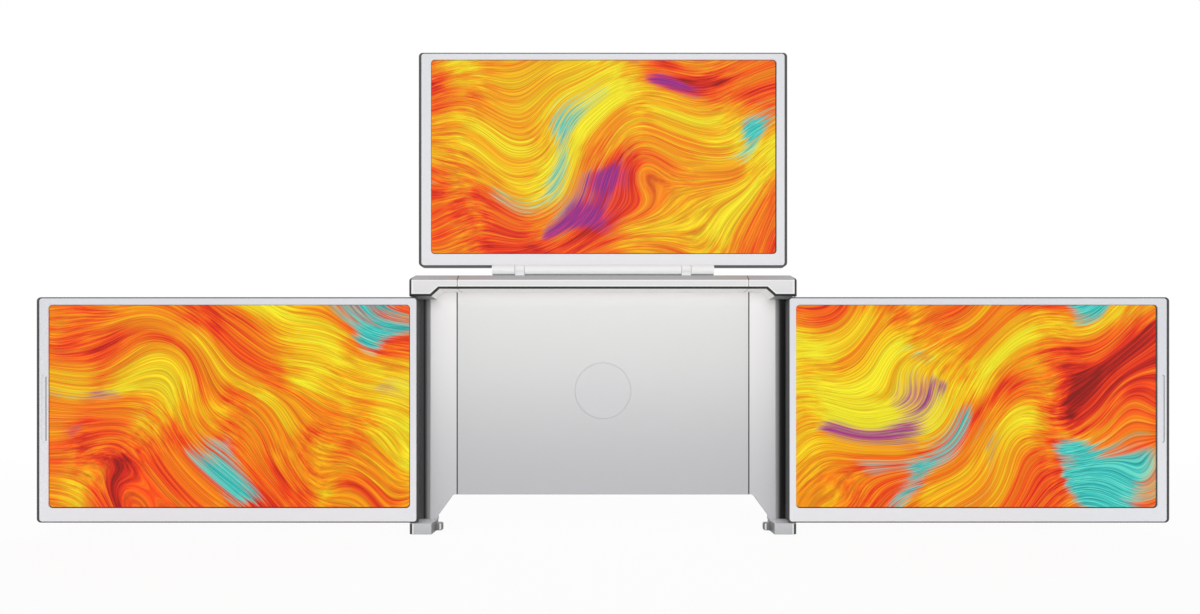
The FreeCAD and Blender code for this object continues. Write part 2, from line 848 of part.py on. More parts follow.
def slide_tongue(side):
    """The sheet that slides behind the plate, with the tab that its spring pulls."""
    x = flank(side, tongue_start, wing_face_end - tongue_margin)
    sheet = block(x, (tongue_y, tongue_back_y), (tongue_bottom, tongue_top))
    tab_y = (tongue_back_y - tongue_thick / 2, body_inner_y - spring_pad / 2)
    tab = block(flank(side, tongue_start, tongue_start + spring_tab), tab_y,
                grown((spring_height, spring_height), spring_tab_half))
    sheet = sheet.fuse(tab)
    holes = [rod((px, tongue_y - 1, pz), (0, tongue_thick + 2, 0), post_radius + fit)
             for px, pz in wing_screw_places(side)]
    return sheet.cut(holes).removeSplitter()


def wing_back_cover(side):
    """The tray behind the tongue, which ends in a thin facing down the leg."""
    cover = wing_outline(side, tongue_y, back_y - tongue_y)
    hollow = block(flank(side, wing_start - 1, wing_face_end - body_wall), (tongue_y - 1, body_inner_y),
                   (body_bottom + body_wall, bar_bottom - body_wall))
    behind_leg = block(flank(side, wing_start - 1, wing_face_end + 1), (tongue_y + leg_facing, back_y + 1),
                       (foot_height - 1, body_bottom))
    cover = cover.cut([hollow, behind_leg])
    return cover.cut([big_hole(x, z) for x, z in wing_screw_places(side)]).removeSplitter()


def hinge_column(side):
    """The dark upright behind a side monitor's inner edge, creased back from the wing's face."""
    floor_y = plate_y + crease_depth
    points = [
        (side * wing_face_end, plate_y, foot_height),
        (side * (wing_face_end + crease_width), floor_y, foot_height),
        (side * bracket_reach, floor_y, foot_height),
        (side * bracket_reach, back_y, foot_height),
        (side * wing_face_end, back_y, foot_height),
    ]
    column = prism(points, (0, 0, bar_bottom - foot_height))
    corner = edges_along(column, 2, lambda p: abs(p.x) > bracket_reach - 1 and p.y > body_inner_y)
    column = column.makeFillet(body_wall, corner)
    hollow = block(flank(side, wing_face_end + body_wall, bracket_reach - body_wall),
                   (floor_y + body_wall, body_inner_y), (foot_height + body_wall, bar_bottom + 1))
    return column.cut(hollow)


def corner_block(side):
    """A wing's length of the bar, its tongue in the bar, and the lug over the monitor."""
    start = bar_half + seam_gap
    low_x, high_x = flank(side, start, bracket_reach)
    body = bar_profile(low_x, high_x - low_x)
    corner = edges_along(body, 1, lambda p: abs(p.x) > bracket_reach - 1 and p.z > bar_top - 1)
    body = body.makeChamfer(corner_chamfer, corner)
    points = [
        (side * (lug_start - lug_slope), front_y, bar_bottom),
        (side * lug_start, front_y, lug_bottom),
        (side * bracket_reach, front_y, lug_bottom),
        (side * bracket_reach, front_y, bar_bottom),
    ]
    lug = prism(points, (0, plate_y - front_y, 0))
    tongue = bar_slot(flank(side, bar_tongue_start, start + 1), slide_clearance)
    hole = rod((side * pivot_x, pivot_y[side], lug_bottom - 1), (0, 0, pin_seat + 1), pivot_radius + fit)
    return body.fuse([lug, tongue]).cut(hole).removeSplitter()


def foot_block(side):
    """A foot under the monitor's inner corner, which runs back under the wing."""
    base = pad_proud
    x = flank(side, foot_start, bracket_reach)
    front = block(x, (front_y, plate_y), (base, foot_height))
    front_edges = edges_along(front, 2, lambda p: p.y < front_y + 1)
    front = front.makeFillet(edge_radius, front_edges)
    rear = block(flank(side, foot_start + foot_step, bracket_reach), (plate_y, back_y), (base, foot_height))
    foot = front.fuse(rear).cut(foot_pad(side))
    hole = rod((side * pivot_x, pivot_y[side], foot_height - foot_pin_seat),
               (0, 0, foot_pin_seat + 1), pivot_radius + fit)
    return foot.cut(hole).removeSplitter()


def foot_pad(side):
    x = flank(side, foot_start + foot_step + pad_inset, bracket_reach - pad_inset)
    return pill(x, grown((front_y, back_y), -pad_inset), (0.0, pad_thick), 2, pad_inset)


def lid_tab(side):
    """The small hook inside a foot that catches the lower edge of the laptop's lid."""
    low = pad_proud + tab_lift
    x = flank(side, foot_start - tab_length, foot_start)
    tab = block(x, (plate_y - tab_thick, plate_y), (low, low + tab_height))
    ends = edges_along(tab, 1, lambda p: abs(p.x) < foot_start - 1)
    return tab.makeFillet(tab_round, ends)


def pivot_pins(side):
    x, y = side * pivot_x, pivot_y[side]
    monitor = side_monitor(side)
    high, low = bush_pairs(monitor)
    upper = rod((x, y, high[0]), (0, 0, lug_bottom + pin_seat - high[0]), pivot_radius)
    start = foot_height - foot_pin_seat
    lower = rod((x, y, start), (0, 0, low[1] - start), pivot_radius)
    return Part.makeCompound([upper, lower])


# Upper monitor and its hinge

def upper_monitor():
    half = (upper_bezel_left + picture_width + upper_bezel_right) / 2
    bezels = (upper_bezel_left, upper_bezel_right, upper_bezel_bottom, upper_bezel_top)
    return Monitor("top_screen", (-half, half), upper_bottom, upper_front_y, bezels,
                   (wide_rim, wide_rim), RIGHT, False)


def hinge_leaf(side, play):
    """Two eyes round the pin, and a strap that runs back and up into the monitor."""
    middle = side * hinge_centre
    ends = (middle - hinge_pin_half - play, middle + hinge_pin_half + play)
    gap = (middle - lug_half - leaf_gap + play, middle + lug_half + leaf_gap - play)
    inner_back = back_y - shell_back
    strap_bottom = upper_hinge_z + lug_radius - strap_drop
    strap_z = (strap_bottom - play, strap_bottom + leaf_thick + play)
    shapes = []
    for x in ((ends[0], gap[0]), (gap[1], ends[1])):
        shapes.append(rod((x[0], upper_hinge_y, upper_hinge_z), (x[1] - x[0], 0, 0), lug_radius + play))
        shapes.append(block(x, (upper_hinge_y, upper_hinge_y + strap_start + 1), strap_z))
    shapes.append(block(ends, (upper_hinge_y + strap_start - play, inner_back + play), strap_z))
    rise = (strap_z[0], upper_bottom + board_rise - leaf_board_gap + play)
    shapes.append(block(ends, (inner_back - leaf_thick - play, inner_back + play), rise))
    return shapes[0].fuse(shapes[1:])


def hinge_leaves():
    made = []
    for side in (LEFT, RIGHT):
        leaf = hinge_leaf(side, 0.0)
        start = side * hinge_centre - hinge_pin_half - 1
        hole = rod((start, upper_hinge_y, upper_hinge_z), (2 * hinge_pin_half + 2, 0, 0),
                   hinge_pin_radius + pivot_clearance)
        made.append(leaf.cut(hole).removeSplitter())
    return Part.makeCompound(made)


def hinge_cover():
    """The tab below the upper monitor: a barrel round the hinge that widens back to the shell."""
    front = upper_front_y - upper_hinge_y
    back = back_y - upper_hinge_y
    profile = [
        (0.0, barrel_radius),
        (cover_flat, barrel_radius),
        (front, barrel_to_screen - cover_step),
        (front, barrel_to_screen),
        (back, barrel_to_screen),
        (back, cover_tail),
        (cover_tail, cover_chin - barrel_radius),
        (0.0, 0.0),
    ]
    points = [(-cover_half, upper_hinge_y + y, upper_hinge_z + z) for y, z in profile]
    cover = prism(points, (2 * cover_half, 0, 0))
    barrel = rod((-cover_half, upper_hinge_y, upper_hinge_z), (2 * cover_half, 0, 0), barrel_radius)
    cover = cover.fuse(barrel)
    cuts = [hinge_leaf(side, fit) for side in (LEFT, RIGHT)]
    for side in (LEFT, RIGHT):
        x = grown((side * hinge_centre, side * hinge_centre), lug_half + leaf_gap)
        y = (upper_hinge_y - barrel_radius - 1, upper_hinge_y + strap_start - strap_cover)
        cuts.append(block(x, y, (bar_top, upper_bottom + 1)))
    return cover.cut(cuts).removeSplitter()


def top_parts():
    monitor = upper_monitor()
    parts = monitor.parts()
    shell = parts["top_screen_rear_shell"]
    for side in (LEFT, RIGHT):
        shell = shell.cut(hinge_leaf(side, fit))
    parts["top_screen_rear_shell"] = shell
    parts["top_hinge_cover"] = hinge_cover()
    parts["top_hinge_leaves"] = hinge_leaves()
    return parts


def side_parts(side):
    monitor = side_monitor(side)
    parts = monitor.parts()
    parts[monitor.name + "_rear_shell"] = side_shell(side, monitor)
    parts[monitor.name + "_hinge_bushes"] = Part.makeCompound(hinge_bushes(side, monitor))
    return parts


def wing_parts(side):
    made = {
        "wing_plate": wing_plate(side),
        "slide_tongue": slide_tongue(side),
        "wing_back_cover": wing_back_cover(side),
        "hinge_column": hinge_column(side),
        "corner_block": corner_block(side),
        "foot_block": foot_block(side),
        "lid_tab": lid_tab(side),
        "foot_pad": foot_pad(side),
        "pivot_pins": pivot_pins(side),
        "wing_screws": Part.makeCompound([big_screw(x, z) for x, z in wing_screw_places(side)]),
        "wing_spring": wing_spring(side),
    }
    return {SIDE_NAMES[side] + "_" + name: shape for name, shape in made.items()}


def centre_parts():
    return {
        "centre_front_plate": centre_front_plate(),
        "badge_disc": badge_disc(),
        "centre_back_shell": centre_back_shell(),
        "top_bar_beam": top_bar_beam(),
        "slide_guides": slide_guides(),
        "main_board": main_board(),
        "usb_c_sockets": body_sockets(),
        "top_hinge_brackets": top_hinge_brackets(),
        "top_hinge_pins": top_hinge_pins(),
        "centre_screws": Part.makeCompound([big_screw(x, z) for x, z in centre_screw_places()]),
    }


parts = centre_parts()
for side in (LEFT, RIGHT):
    parts.update(wing_parts(side))
    parts.update(side_parts(side))
parts.update(top_parts())

os.makedirs("parts", exist_ok=True)
for name, shape in parts.items():
    if not shape.isValid():
        print("not valid:", name)
    shape.exportStep("parts/" + name + ".step")
    print(name, len(shape.Solids), round(shape.Volume, 1))
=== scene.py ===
"""Looks of the laptop screen extender: three slim monitors on a silver lid bracket.

Everything is in metres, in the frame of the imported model: the user faces +Y, X runs to
the right, Z is up and the feet stand at Z = 0.
"""

from __future__ import annotations

import logging
import math
from collections.abc import Callable, Iterator, Sequence
from contextlib import contextmanager
from dataclasses import dataclass
from enum import Enum

import bmesh
import bpy
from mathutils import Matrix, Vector


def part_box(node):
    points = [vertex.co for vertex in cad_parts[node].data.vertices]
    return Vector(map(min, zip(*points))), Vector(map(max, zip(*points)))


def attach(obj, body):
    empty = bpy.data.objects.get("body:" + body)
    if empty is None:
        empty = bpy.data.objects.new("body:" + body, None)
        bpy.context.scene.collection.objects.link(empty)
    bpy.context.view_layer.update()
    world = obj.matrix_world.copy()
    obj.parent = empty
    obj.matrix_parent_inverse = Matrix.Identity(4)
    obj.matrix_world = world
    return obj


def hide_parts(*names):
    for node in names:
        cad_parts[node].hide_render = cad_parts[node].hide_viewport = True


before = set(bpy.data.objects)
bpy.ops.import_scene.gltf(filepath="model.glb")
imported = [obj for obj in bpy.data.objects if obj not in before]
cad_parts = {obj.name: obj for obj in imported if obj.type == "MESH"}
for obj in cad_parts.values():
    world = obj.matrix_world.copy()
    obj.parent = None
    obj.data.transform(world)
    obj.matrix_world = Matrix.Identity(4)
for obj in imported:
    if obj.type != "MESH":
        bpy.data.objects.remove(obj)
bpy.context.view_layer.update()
LOG = logging.getLogger("extender")

MM = 0.001
OUTWARD = Vector((1.0, 0.0, 0.0))
UPWARD = Vector((0.0, 0.0, 1.0))
Pair = tuple[float, float]
Colour = tuple[float, float, float, float]
Stops = tuple[tuple[float, str], ...]
Wanted = Callable[[Vector, Vector], bool]

# How close a place has to be to count as near a plane, or as the same place
NEAR = 0.1 * MM
SAME = 0.01 * MM

# How much of a direction lies along an axis when it runs along it, and how much of a
# face's normal does when the face is flat to the front, or only leans that way
ALONG = 0.999
FLAT = 0.985
LEANING = 0.3


class Side(Enum):
    """The two sides of the bracket, with the sign of X there."""

    LEFT = -1
    RIGHT = 1

    @property
    def label(self) -> str:
        """The word that starts the names of this side's nodes."""
        return self.name.lower()


class Axis(Enum):
    """An axis of the frame, with its place in a vector."""

    X = 0
    Y = 1
    Z = 2


def tone(text: str) -> Colour:
    """Turns a screen colour into the linear one that shaders take.

    Args:
        text: Six hexadecimal digits, as in "D9D9DB".

    Returns:
        Red, green, blue and an alpha of 1.
    """
    parts = [int(text[k : k + 2], 16) / 255 for k in (0, 2, 4)]
    linear = [c / 12.92 if c <= 0.04045 else ((c + 0.055) / 1.055) ** 2.4 for c in parts]
    return (linear[0], linear[1], linear[2], 1.0)


# Shader sums


class Sock:
    """A shader socket that is written like a number."""

    def __init__(self, graph: Nodes, link: bpy.types.NodeSocket) -> None:
        """Wraps an output socket of a graph."""
        self.graph = graph
        self.link = link

    def __add__(self, other: Sock | float) -> Sock:
        """self + other."""
        return self.graph.sums("ADD", self, other)

    def __sub__(self, other: Sock | float) -> Sock:
        """self - other."""
        return self.graph.sums("SUBTRACT", self, other)

    def __mul__(self, other: Sock | float) -> Sock:
        """self * other."""
        return self.graph.sums("MULTIPLY", self, other)

    def __radd__(self, other: float) -> Sock:
        """other + self."""
        return self.graph.sums("ADD", other, self)

    def __rsub__(self, other: float) -> Sock:
        """other - self."""
        return self.graph.sums("SUBTRACT", other, self)

    def __rmul__(self, other: float) -> Sock:
        """other * self."""
        return self.graph.sums("MULTIPLY", other, self)

    def __pow__(self, other: float) -> Sock:
        """self to the power of other."""
        return self.graph.sums("POWER", self, other)

    def __abs__(self) -> Sock:
        """The size of self without its sign."""
        return self.graph.sums("ABSOLUTE", self, 0.0)


class Nodes:
    """The nodes of a material or a world, with short ways to add the usual ones."""

    def __init__(self, owner: bpy.types.Material | bpy.types.World) -> None:
        """Empties the nodes.

        Args:
            owner: The material or world, whose nodes are made anew.
        """
        owner.use_nodes = True
        self.tree = owner.node_tree
        self.tree.nodes.clear()

    def node(self, kind: str, settings: dict, sockets: dict) -> bpy.types.Node:
        """Adds a node.

        Args:
            kind: Its type.
            settings: Attributes that are set first. "stops" holds a ramp's places and colours.
            sockets: Values or links of its inputs, by name or index.

        Returns:
            The node.
        """
        made = self.tree.nodes.new(kind)
        for name, value in settings.items():
            if name == "stops":
                self.set_stops(made.color_ramp, value)
            else:
                setattr(made, name, value)
        for key, value in sockets.items():
            if isinstance(value, Sock):
                self.tree.links.new(value.link, made.inputs[key])
            else:
                made.inputs[key].default_value = value
        return made

    def set_stops(self, ramp: bpy.types.ColorRamp, stops: Stops) -> None:
        """Gives a ramp its stops, from left to right.

        Args:
            ramp: The ramp.
            stops: A place from 0 to 1 and a screen colour for each stop.
        """
        while len(ramp.elements) < len(stops):
            ramp.elements.new(1.0)
        for element, (place, colour) in zip(ramp.elements, stops):
            element.position = place
            element.color = tone(colour)

    def of(self, node: bpy.types.Node, output: int | str = 0) -> Sock:
        """An output of a node as a socket to count with."""
        return Sock(self, node.outputs[output])

    def sums(self, operation: str, first: Sock | float, second: Sock | float) -> Sock:
        """A Math node on two values."""
        return self.of(self.node("ShaderNodeMath", {"operation": operation}, {0: first, 1: second}))

    def vector(self, x: Sock | float, y: Sock | float, z: Sock | float) -> Sock:
        """Three values as one vector."""
        return self.of(self.node("ShaderNodeCombineXYZ", {}, {0: x, 1: y, 2: z}))

    def noise(self, where: Sock, scale: float, detail: float = 2.0, rough: float = 0.5) -> Sock:
        """Smooth noise from 0 to 1 at a place.

        Args:
            where: The place, as a vector.
            scale: How fine the noise is.
            detail: How many finer layers it has.
            rough: How strong these are.

        Returns:
            The noise.
        """
        sockets = {"Vector": where, "Scale": scale, "Detail": detail, "Roughness": rough}
        return self.of(self.node("ShaderNodeTexNoise", {"noise_dimensions": "3D"}, sockets), "Fac")

    def between(self, value: Sock, low: float, high: float, to: Pair = (0.0, 1.0)) -> Sock:
        """A value mapped smoothly from one range to another and held at the ends.

        Args:
            value: The value.
            low: Where the range starts.
            high: Where it ends.
            to: What these two ends become.

        Returns:
            The mapped value.
        """
        sockets = {"Value": value, 1: low, 2: high, 3: to[0], 4: to[1]}
        settings = {"interpolation_type": "SMOOTHSTEP"}
        return self.of(self.node("ShaderNodeMapRange", settings, sockets))

    def ramp(self, value: Sock, stops: Stops) -> Sock:
        """A colour from a ramp."""
        return self.of(self.node("ShaderNodeValToRGB", {"stops": stops}, {0: value}))

    def blend(
        self, amount: Sock | float, first: Sock | Colour, second: Sock | Colour, how: str = "MIX"
    ) -> Sock:
        """Two colours mixed.

        Args:
            amount: How much of the second colour there is.
            first: The first colour.
            second: The second colour.
            how: The way they mix, as Blender names it.

        Returns:
            The mixed colour.
        """
        settings = {"data_type": "RGBA", "blend_type": how}
        return self.of(self.node("ShaderNodeMix", settings, {0: amount, 6: first, 7: second}), 2)

    def bump(self, height: Sock, strength: float, depth: float) -> Sock:
        """A bumped normal from a height."""
        sockets = {"Strength": strength, "Distance": depth, "Height": height}
        return self.of(self.node("ShaderNodeBump", {}, sockets))


class Graph(Nodes):
    """The nodes of one material, round its Principled shader."""

    def __init__(self, material: bpy.types.Material) -> None:
        """Starts a material's nodes with the shader and the output.

        Args:
            material: The material, whose nodes are made anew.
        """
        super().__init__(material)
        self.shader = self.node("ShaderNodeBsdfPrincipled", {}, {})
        self.out = self.node("ShaderNodeOutputMaterial", {}, {"Surface": self.of(self.shader)})

    def place(self) -> tuple[Sock, Sock, Sock]:
        """X, Y and Z of the point in the frame, in metres."""
        where = self.node("ShaderNodeTexCoord", {}, {})
        apart = self.node("ShaderNodeSeparateXYZ", {}, {0: self.of(where, "Object")})
        return self.of(apart, 0), self.of(apart, 1), self.of(apart, 2)

    def shade(self, **sockets: Sock | Colour | float) -> None:
        """Feeds the Principled shader. An underscore in a name stands for a space.

        Args:
            **sockets: Values or links, by the names of the shader's inputs.
        """
        for name, value in sockets.items():
            target = self.shader.inputs[name.replace("_", " ")]
            if isinstance(value, Sock):
                self.tree.links.new(value.link, target)
            else:
                target.default_value = value


# Finishes


@dataclass(frozen=True)
class Finish:
    """A surface finish. Each kind writes its own nodes."""

    name: str

    def paint(self, graph: Graph) -> None:
        """Writes the nodes of this finish.

        Args:
            graph: The graph of its material.
        """
        raise NotImplementedError

    def material(self) -> bpy.types.Material:
        """The material of this finish, made on first use."""
        title = "finish_" + self.name
        found = bpy.data.materials.get(title)
        if found is None:
            found = bpy.data.materials.new(title)
            self.paint(Graph(found))
        return found


@dataclass(frozen=True)
class SilverFace(Finish):
    """Anodised or painted silver with light painted in: its tone changes with height, and a painted
    highlight can whiten it just under the bar.
    """

    top: str
    foot: str
    heights: Pair
    metal: float = 0.0
    roughness: float = 0.42
    grain: float = 0.05
    # The last two fields give a painted highlight against the bar's shadow: its tone, and the heights over
    # which it rises
    crown: str = ""
    crown_rise: Pair = (0.197, 0.2115)

    def paint(self, graph: Graph) -> None:
        """A soft change of tone with height that is painted light, and any painted highlight under the bar,
        under a fine blasted grain.

        Args:
            graph: The graph of its material.
        """
        x, y, z = graph.place()
        where = graph.vector(x, y, z)
        fine = graph.noise(where, 2600.0, 3.0, 0.6)
        broad = graph.noise(where, 14.0, 2.0)
        # Painted light: the tone goes from the foot's to the top's over these heights
        painted_light_height = graph.between(z, self.heights[0], self.heights[1])
        colour = graph.blend(painted_light_height, tone(self.foot), tone(self.top))
        # Painted highlight just under the bar
        if self.crown:
            colour = graph.blend(graph.between(z, *self.crown_rise), colour, tone(self.crown))
        shade = 1.0 - self.grain * 0.5 + self.grain * 0.7 * fine + self.grain * 0.3 * broad
        colour = graph.blend(1.0, colour, graph.vector(shade, shade, shade), "MULTIPLY")
        graph.shade(
            Base_Color=colour,
            Metallic=self.metal,
            Roughness=self.roughness - 0.05 + 0.1 * broad,
            Normal=graph.bump(fine, 0.08, 0.02 * MM),
        )


@dataclass(frozen=True)
class Moulded(Finish):
    """Moulded plastic or rubber with a fine spark-eroded grain."""

    colour: str
    worn: str
    roughness: float = 0.5
    scale: float = 1800.0
    depth: float = 0.03
    coat: float = 0.0

    def paint(self, graph: Graph) -> None:
        """Grain in the height, and slight cloudiness in tone and roughness.

        Args:
            graph: The graph of its material.
        """
        where = graph.vector(*graph.place())
        grain = graph.noise(where, self.scale, 4.0, 0.65)
        cloud = graph.noise(where, 22.0, 3.0)
        colour = graph.blend(graph.between(cloud, 0.35, 0.75), tone(self.colour), tone(self.worn))
        graph.shade(
            Base_Color=colour,
            Roughness=self.roughness - 0.06 + 0.12 * cloud,
            Coat_Weight=self.coat,
            Normal=graph.bump(grain, 0.35, self.depth * MM),
        )


@dataclass(frozen=True)
class Brushed(Finish):
    """Metal with fine lines along one axis."""

    colour: str
    along: Axis
    roughness: float = 0.32
    metal: float = 0.9

    def paint(self, graph: Graph) -> None:
        """Noise drawn out along the axis, in tone, roughness and height.

        Args:
            graph: The graph of its material.
        """
        parts = list(graph.place())
        parts[self.along.value] = parts[self.along.value] * 0.02
        lines = graph.noise(graph.vector(*parts), 2400.0, 3.0, 0.6)
        colour = graph.blend(lines * 0.25, tone(self.colour), tone("3A3A3C"))
        graph.shade(
            Base_Color=colour,
            Metallic=self.metal,
            Roughness=self.roughness + 0.12 * lines,
            Normal=graph.bump(lines, 0.15, 0.01 * MM),
        )


@dataclass(frozen=True)
class SolderMask(Finish):
    """A green circuit board with faint copper runs under its lacquer."""

    pitch: float = 1.6 * MM

    def paint(self, graph: Graph) -> None:
        """Runs from a warped grid, darker than the board.

        Args:
            graph: The graph of its material.
        """
        x, y, z = graph.place()
        drift = graph.noise(graph.vector(x, y, z), 60.0, 1.0) * self.pitch * 2.0
        wave = graph.sums("FRACT", (x + z + drift) * (1.0 / self.pitch), 0.0)
        runs = graph.between(abs(wave - 0.5), 0.3, 0.36)
        graph.shade(
            Base_Color=graph.blend(runs, tone("14502F"), tone("0C3A22")),
            Roughness=0.34 + 0.1 * runs,
            Coat_Weight=0.4,
            Normal=graph.bump(runs, 0.2, 0.02 * MM),
        )


@dataclass(frozen=True)
class ChannelShade(Finish):
    """The upright channel beside a monitor, painted with its shade: grey at its crease, black further out.
    """

    side: Side
    crease: float
    stops: Stops

    def paint(self, graph: Graph) -> None:
        """Painted shade that changes across the channel, over a fine grain.

        Args:
            graph: The graph of its material.
        """
        x, y, z = graph.place()
        out = x * float(self.side.value)
        grain = graph.noise(graph.vector(x, y, z), 1900.0, 3.0)
        reach = self.stops[-1][0]
        depth = (out - self.crease) * (1.0 / (reach * MM))
        colour = graph.ramp(depth, tuple((place / reach, text) for place, text in self.stops))
        graph.shade(
            Base_Color=colour,
            Roughness=0.44 + 0.1 * grain,
            Normal=graph.bump(grain, 0.3, 0.02 * MM),
        )


# The picture's streaks: the warm ones that fill it, the cool patches and the rare ones
WARM_STOPS = (
    (0.0, "8E1408"),
    (0.12, "E0240E"),
    (0.26, "FF4A08"),
    (0.44, "FF7A04"),
    (0.64, "FF9E04"),
    (0.82, "FFC80A"),
    (1.0, "FFF226"),
)
COOL_STOPS = ((0.25, "1C8F96"), (0.5, "35CFC8"), (0.75, "8FE8C4"))
RARE_STOPS = ((0.3, "4A2A9C"), (0.7, "D5317A"))


@dataclass(frozen=True)
class StreakPicture(Finish):
    """A bright picture of flowing streaks, its own design, lit from behind a black border that is widened
    on the right and below as painted shade.
    """

    low: Pair
    high: Pair
    front: float
    seed: float
    turn: float
    # Border widths on the right and below, then on the left and above; the extra width is painted shade
    border: Pair = (0.85 * MM, 0.2 * MM)
    corner: float = 3.0 * MM

    def inside(self, graph: Graph, x: Sock, z: Sock) -> Sock:
        """1 on the picture and 0 on its dark border, which is wider on the right and below as painted shade
        of the bezel's edge.

        Args:
            graph: The graph.
            x: X of the point in the frame.
            z: Z of the point in the frame.

        Returns:
            The mask.
        """
        (left, low), (right, high) = self.low, self.high
        wide, slim = self.border
        spans = ((x, left + slim, right - wide), (z, low + wide, high - slim))
        beyond = []
        for value, start, end in spans:
            middle, half = (start + end) / 2, (end - start) / 2 - self.corner
            beyond.append(graph.sums("MAXIMUM", abs(value - middle) - half, 0.0))
        reach = (beyond[0] * beyond[0] + beyond[1] * beyond[1]) ** 0.5
        return graph.sums("LESS_THAN", reach, self.corner)

    def flow(self, graph: Graph, x: Sock, z: Sock) -> tuple[Sock, Sock]:
        """The plane of the picture, turned and warped, along and across the streaks.

        Args:
            graph: The graph.
            x: X of the point in the frame.
            z: Z of the point in the frame.

        Returns:
            The places along and across the streaks.
        """
        width = self.high[0] - self.low[0]
        u = (x - (self.low[0] + self.high[0]) / 2) * (1.0 / width)
        v = (z - (self.low[1] + self.high[1]) / 2) * (1.0 / width)
        cos, sin = math.cos(self.turn), math.sin(self.turn)
        along, across = u * cos + v * sin, v * cos - u * sin
        bend = graph.noise(graph.vector(along, across, self.seed), 2.1, 1.0) - 0.5
        curl = graph.noise(graph.vector(along, across, self.seed + 7.0), 3.4, 1.0) - 0.5
        return along + curl * 0.5, across + bend * 0.62

    def streaks(self, graph: Graph, along: Sock, across: Sock) -> Sock:
        """The colour of the streaks: warm fields with cool and rare patches, combed finely.

        Args:
            graph: The graph.
            along: The place along the streaks.
            across: The place across them.

        Returns:
            The colour.
        """
        field_at = graph.vector(along * 0.8, across * 1.7, self.seed + 3.0)
        fields = graph.noise(field_at, 2.7, 3.0, 0.55)
        comb = graph.noise(graph.vector(along * 1.4, across * 34.0, self.seed), 3.2, 6.0, 0.72)
        fine_at = graph.vector(along * 3.0, across * 120.0, self.seed + 5.0)
        fine = graph.noise(fine_at, 3.0, 4.0, 0.7)
        warmth = fields + (comb - 0.5) * 0.5 + (fine - 0.5) * 0.12
        colour = graph.ramp(graph.between(warmth, 0.235, 0.72), WARM_STOPS)
        cool = graph.noise(graph.vector(along * 0.9, across * 1.3, self.seed + 11.0), 2.3, 2.0)
        cool = graph.between(cool + (comb - 0.5) * 0.22, 0.59, 0.67)
        colour = graph.blend(cool, colour, graph.ramp(fine, COOL_STOPS))
        rare = graph.noise(graph.vector(along, across * 1.2, self.seed + 19.0), 2.9, 2.0)
        rare = graph.between(rare + (comb - 0.5) * 0.2, 0.66, 0.73)
        colour = graph.blend(rare, colour, graph.ramp(fine, RARE_STOPS))
        light = graph.between(fine, 0.3, 0.72, (0.68, 1.14))
        colour = graph.blend(1.0, colour, graph.vector(light, light, light), "MULTIPLY")
        glint = graph.between(fine * comb, 0.4, 0.5)
        return graph.blend(glint * 0.4, colour, tone("FFF08C"))

    def paint(self, graph: Graph) -> None:
        """Lights the streaks at the panel's front, inside their dark border.

        Args:
            graph: The graph of its material.
        """
        x, y, z = graph.place()
        along, across = self.flow(graph, x, z)
        colour = self.streaks(graph, along, across)
        colour = graph.blend(self.inside(graph, x, z), tone("1B2C2E"), colour)
        lit = graph.sums("LESS_THAN", y, self.front + 0.2 * MM)
        graph.shade(
            Base_Color=(0.004, 0.004, 0.005, 1.0),
            Roughness=0.4,
            Specular_IOR_Level=0.1,
            Emission_Color=graph.blend(lit, (0.0, 0.0, 0.0, 1.0), colour),
            Emission_Strength=0.95,
        )


# Modelling by hand


def select_only(piece: bpy.types.Object) -> None:
    """Selects one piece alone and makes it the active one.

    Args:
        piece: The piece.
    """
    bpy.ops.object.select_all(action="DESELECT")
    piece.select_set(True)
    bpy.context.view_layer.objects.active = piece


@contextmanager
def editing(piece: bpy.types.Object) -> Iterator[bmesh.types.BMesh]:
    """Opens a piece in edit mode with nothing selected, and closes it again.

    Args:
        piece: The piece.

    Returns:
        The mesh that is edited, while the piece is open.
    """
    select_only(piece)
    bpy.ops.object.mode_set(mode="EDIT")
    bpy.ops.mesh.select_mode(type="FACE")
    bpy.ops.mesh.select_all(action="DESELECT")
    yield bmesh.from_edit_mesh(piece.data)
    bpy.ops.object.mode_set(mode="OBJECT")


def pick_edges(piece: bpy.types.Object, mesh: bmesh.types.BMesh, wanted: Wanted) -> None:
    """Selects the edges whose middle and direction are wanted.

    Args:
        piece: The piece.
        mesh: Its mesh in edit mode.
        wanted: The test on an edge's middle and direction.
    """
    bpy.ops.mesh.select_mode(type="EDGE")
    for edge in mesh.edges:
        run = (edge.verts[1].co - edge.verts[0].co).normalized()
        edge.select_set(wanted((edge.verts[0].co + edge.verts[1].co) / 2, run))
    bmesh.update_edit_mesh(piece.data)


def pick_faces(piece: bpy.types.Object, mesh: bmesh.types.BMesh, wanted: Wanted) -> None:
    """Selects the faces whose middle and normal are wanted.

    Args:
        piece: The piece.
        mesh: Its mesh in edit mode.
        wanted: The test on a face's middle and normal.
    """
    bpy.ops.mesh.select_mode(type="FACE")
    for face in mesh.faces:
        face.select_set(wanted(face.calc_center_median(), face.normal))
    bmesh.update_edit_mesh(piece.data)


def runs_along(axis: Axis) -> Callable[[Vector], bool]:
    """A test for directions that lie along an axis."""
    return lambda run: abs(run[axis.value]) > ALONG


def push(x: float = 0.0, y: float = 0.0, z: float = 0.0) -> None:
    """Extrudes the selected faces and moves them."""
    bpy.ops.mesh.extrude_region_move(TRANSFORM_OT_translate={"value": (x, y, z)})


def drop_place(piece: bpy.types.Object) -> None:
    """Moves a piece's place, turn and size into its mesh.

    Args:
        piece: The piece.
    """
    select_only(piece)
    bpy.ops.object.transform_apply(location=True, rotation=True, scale=True)


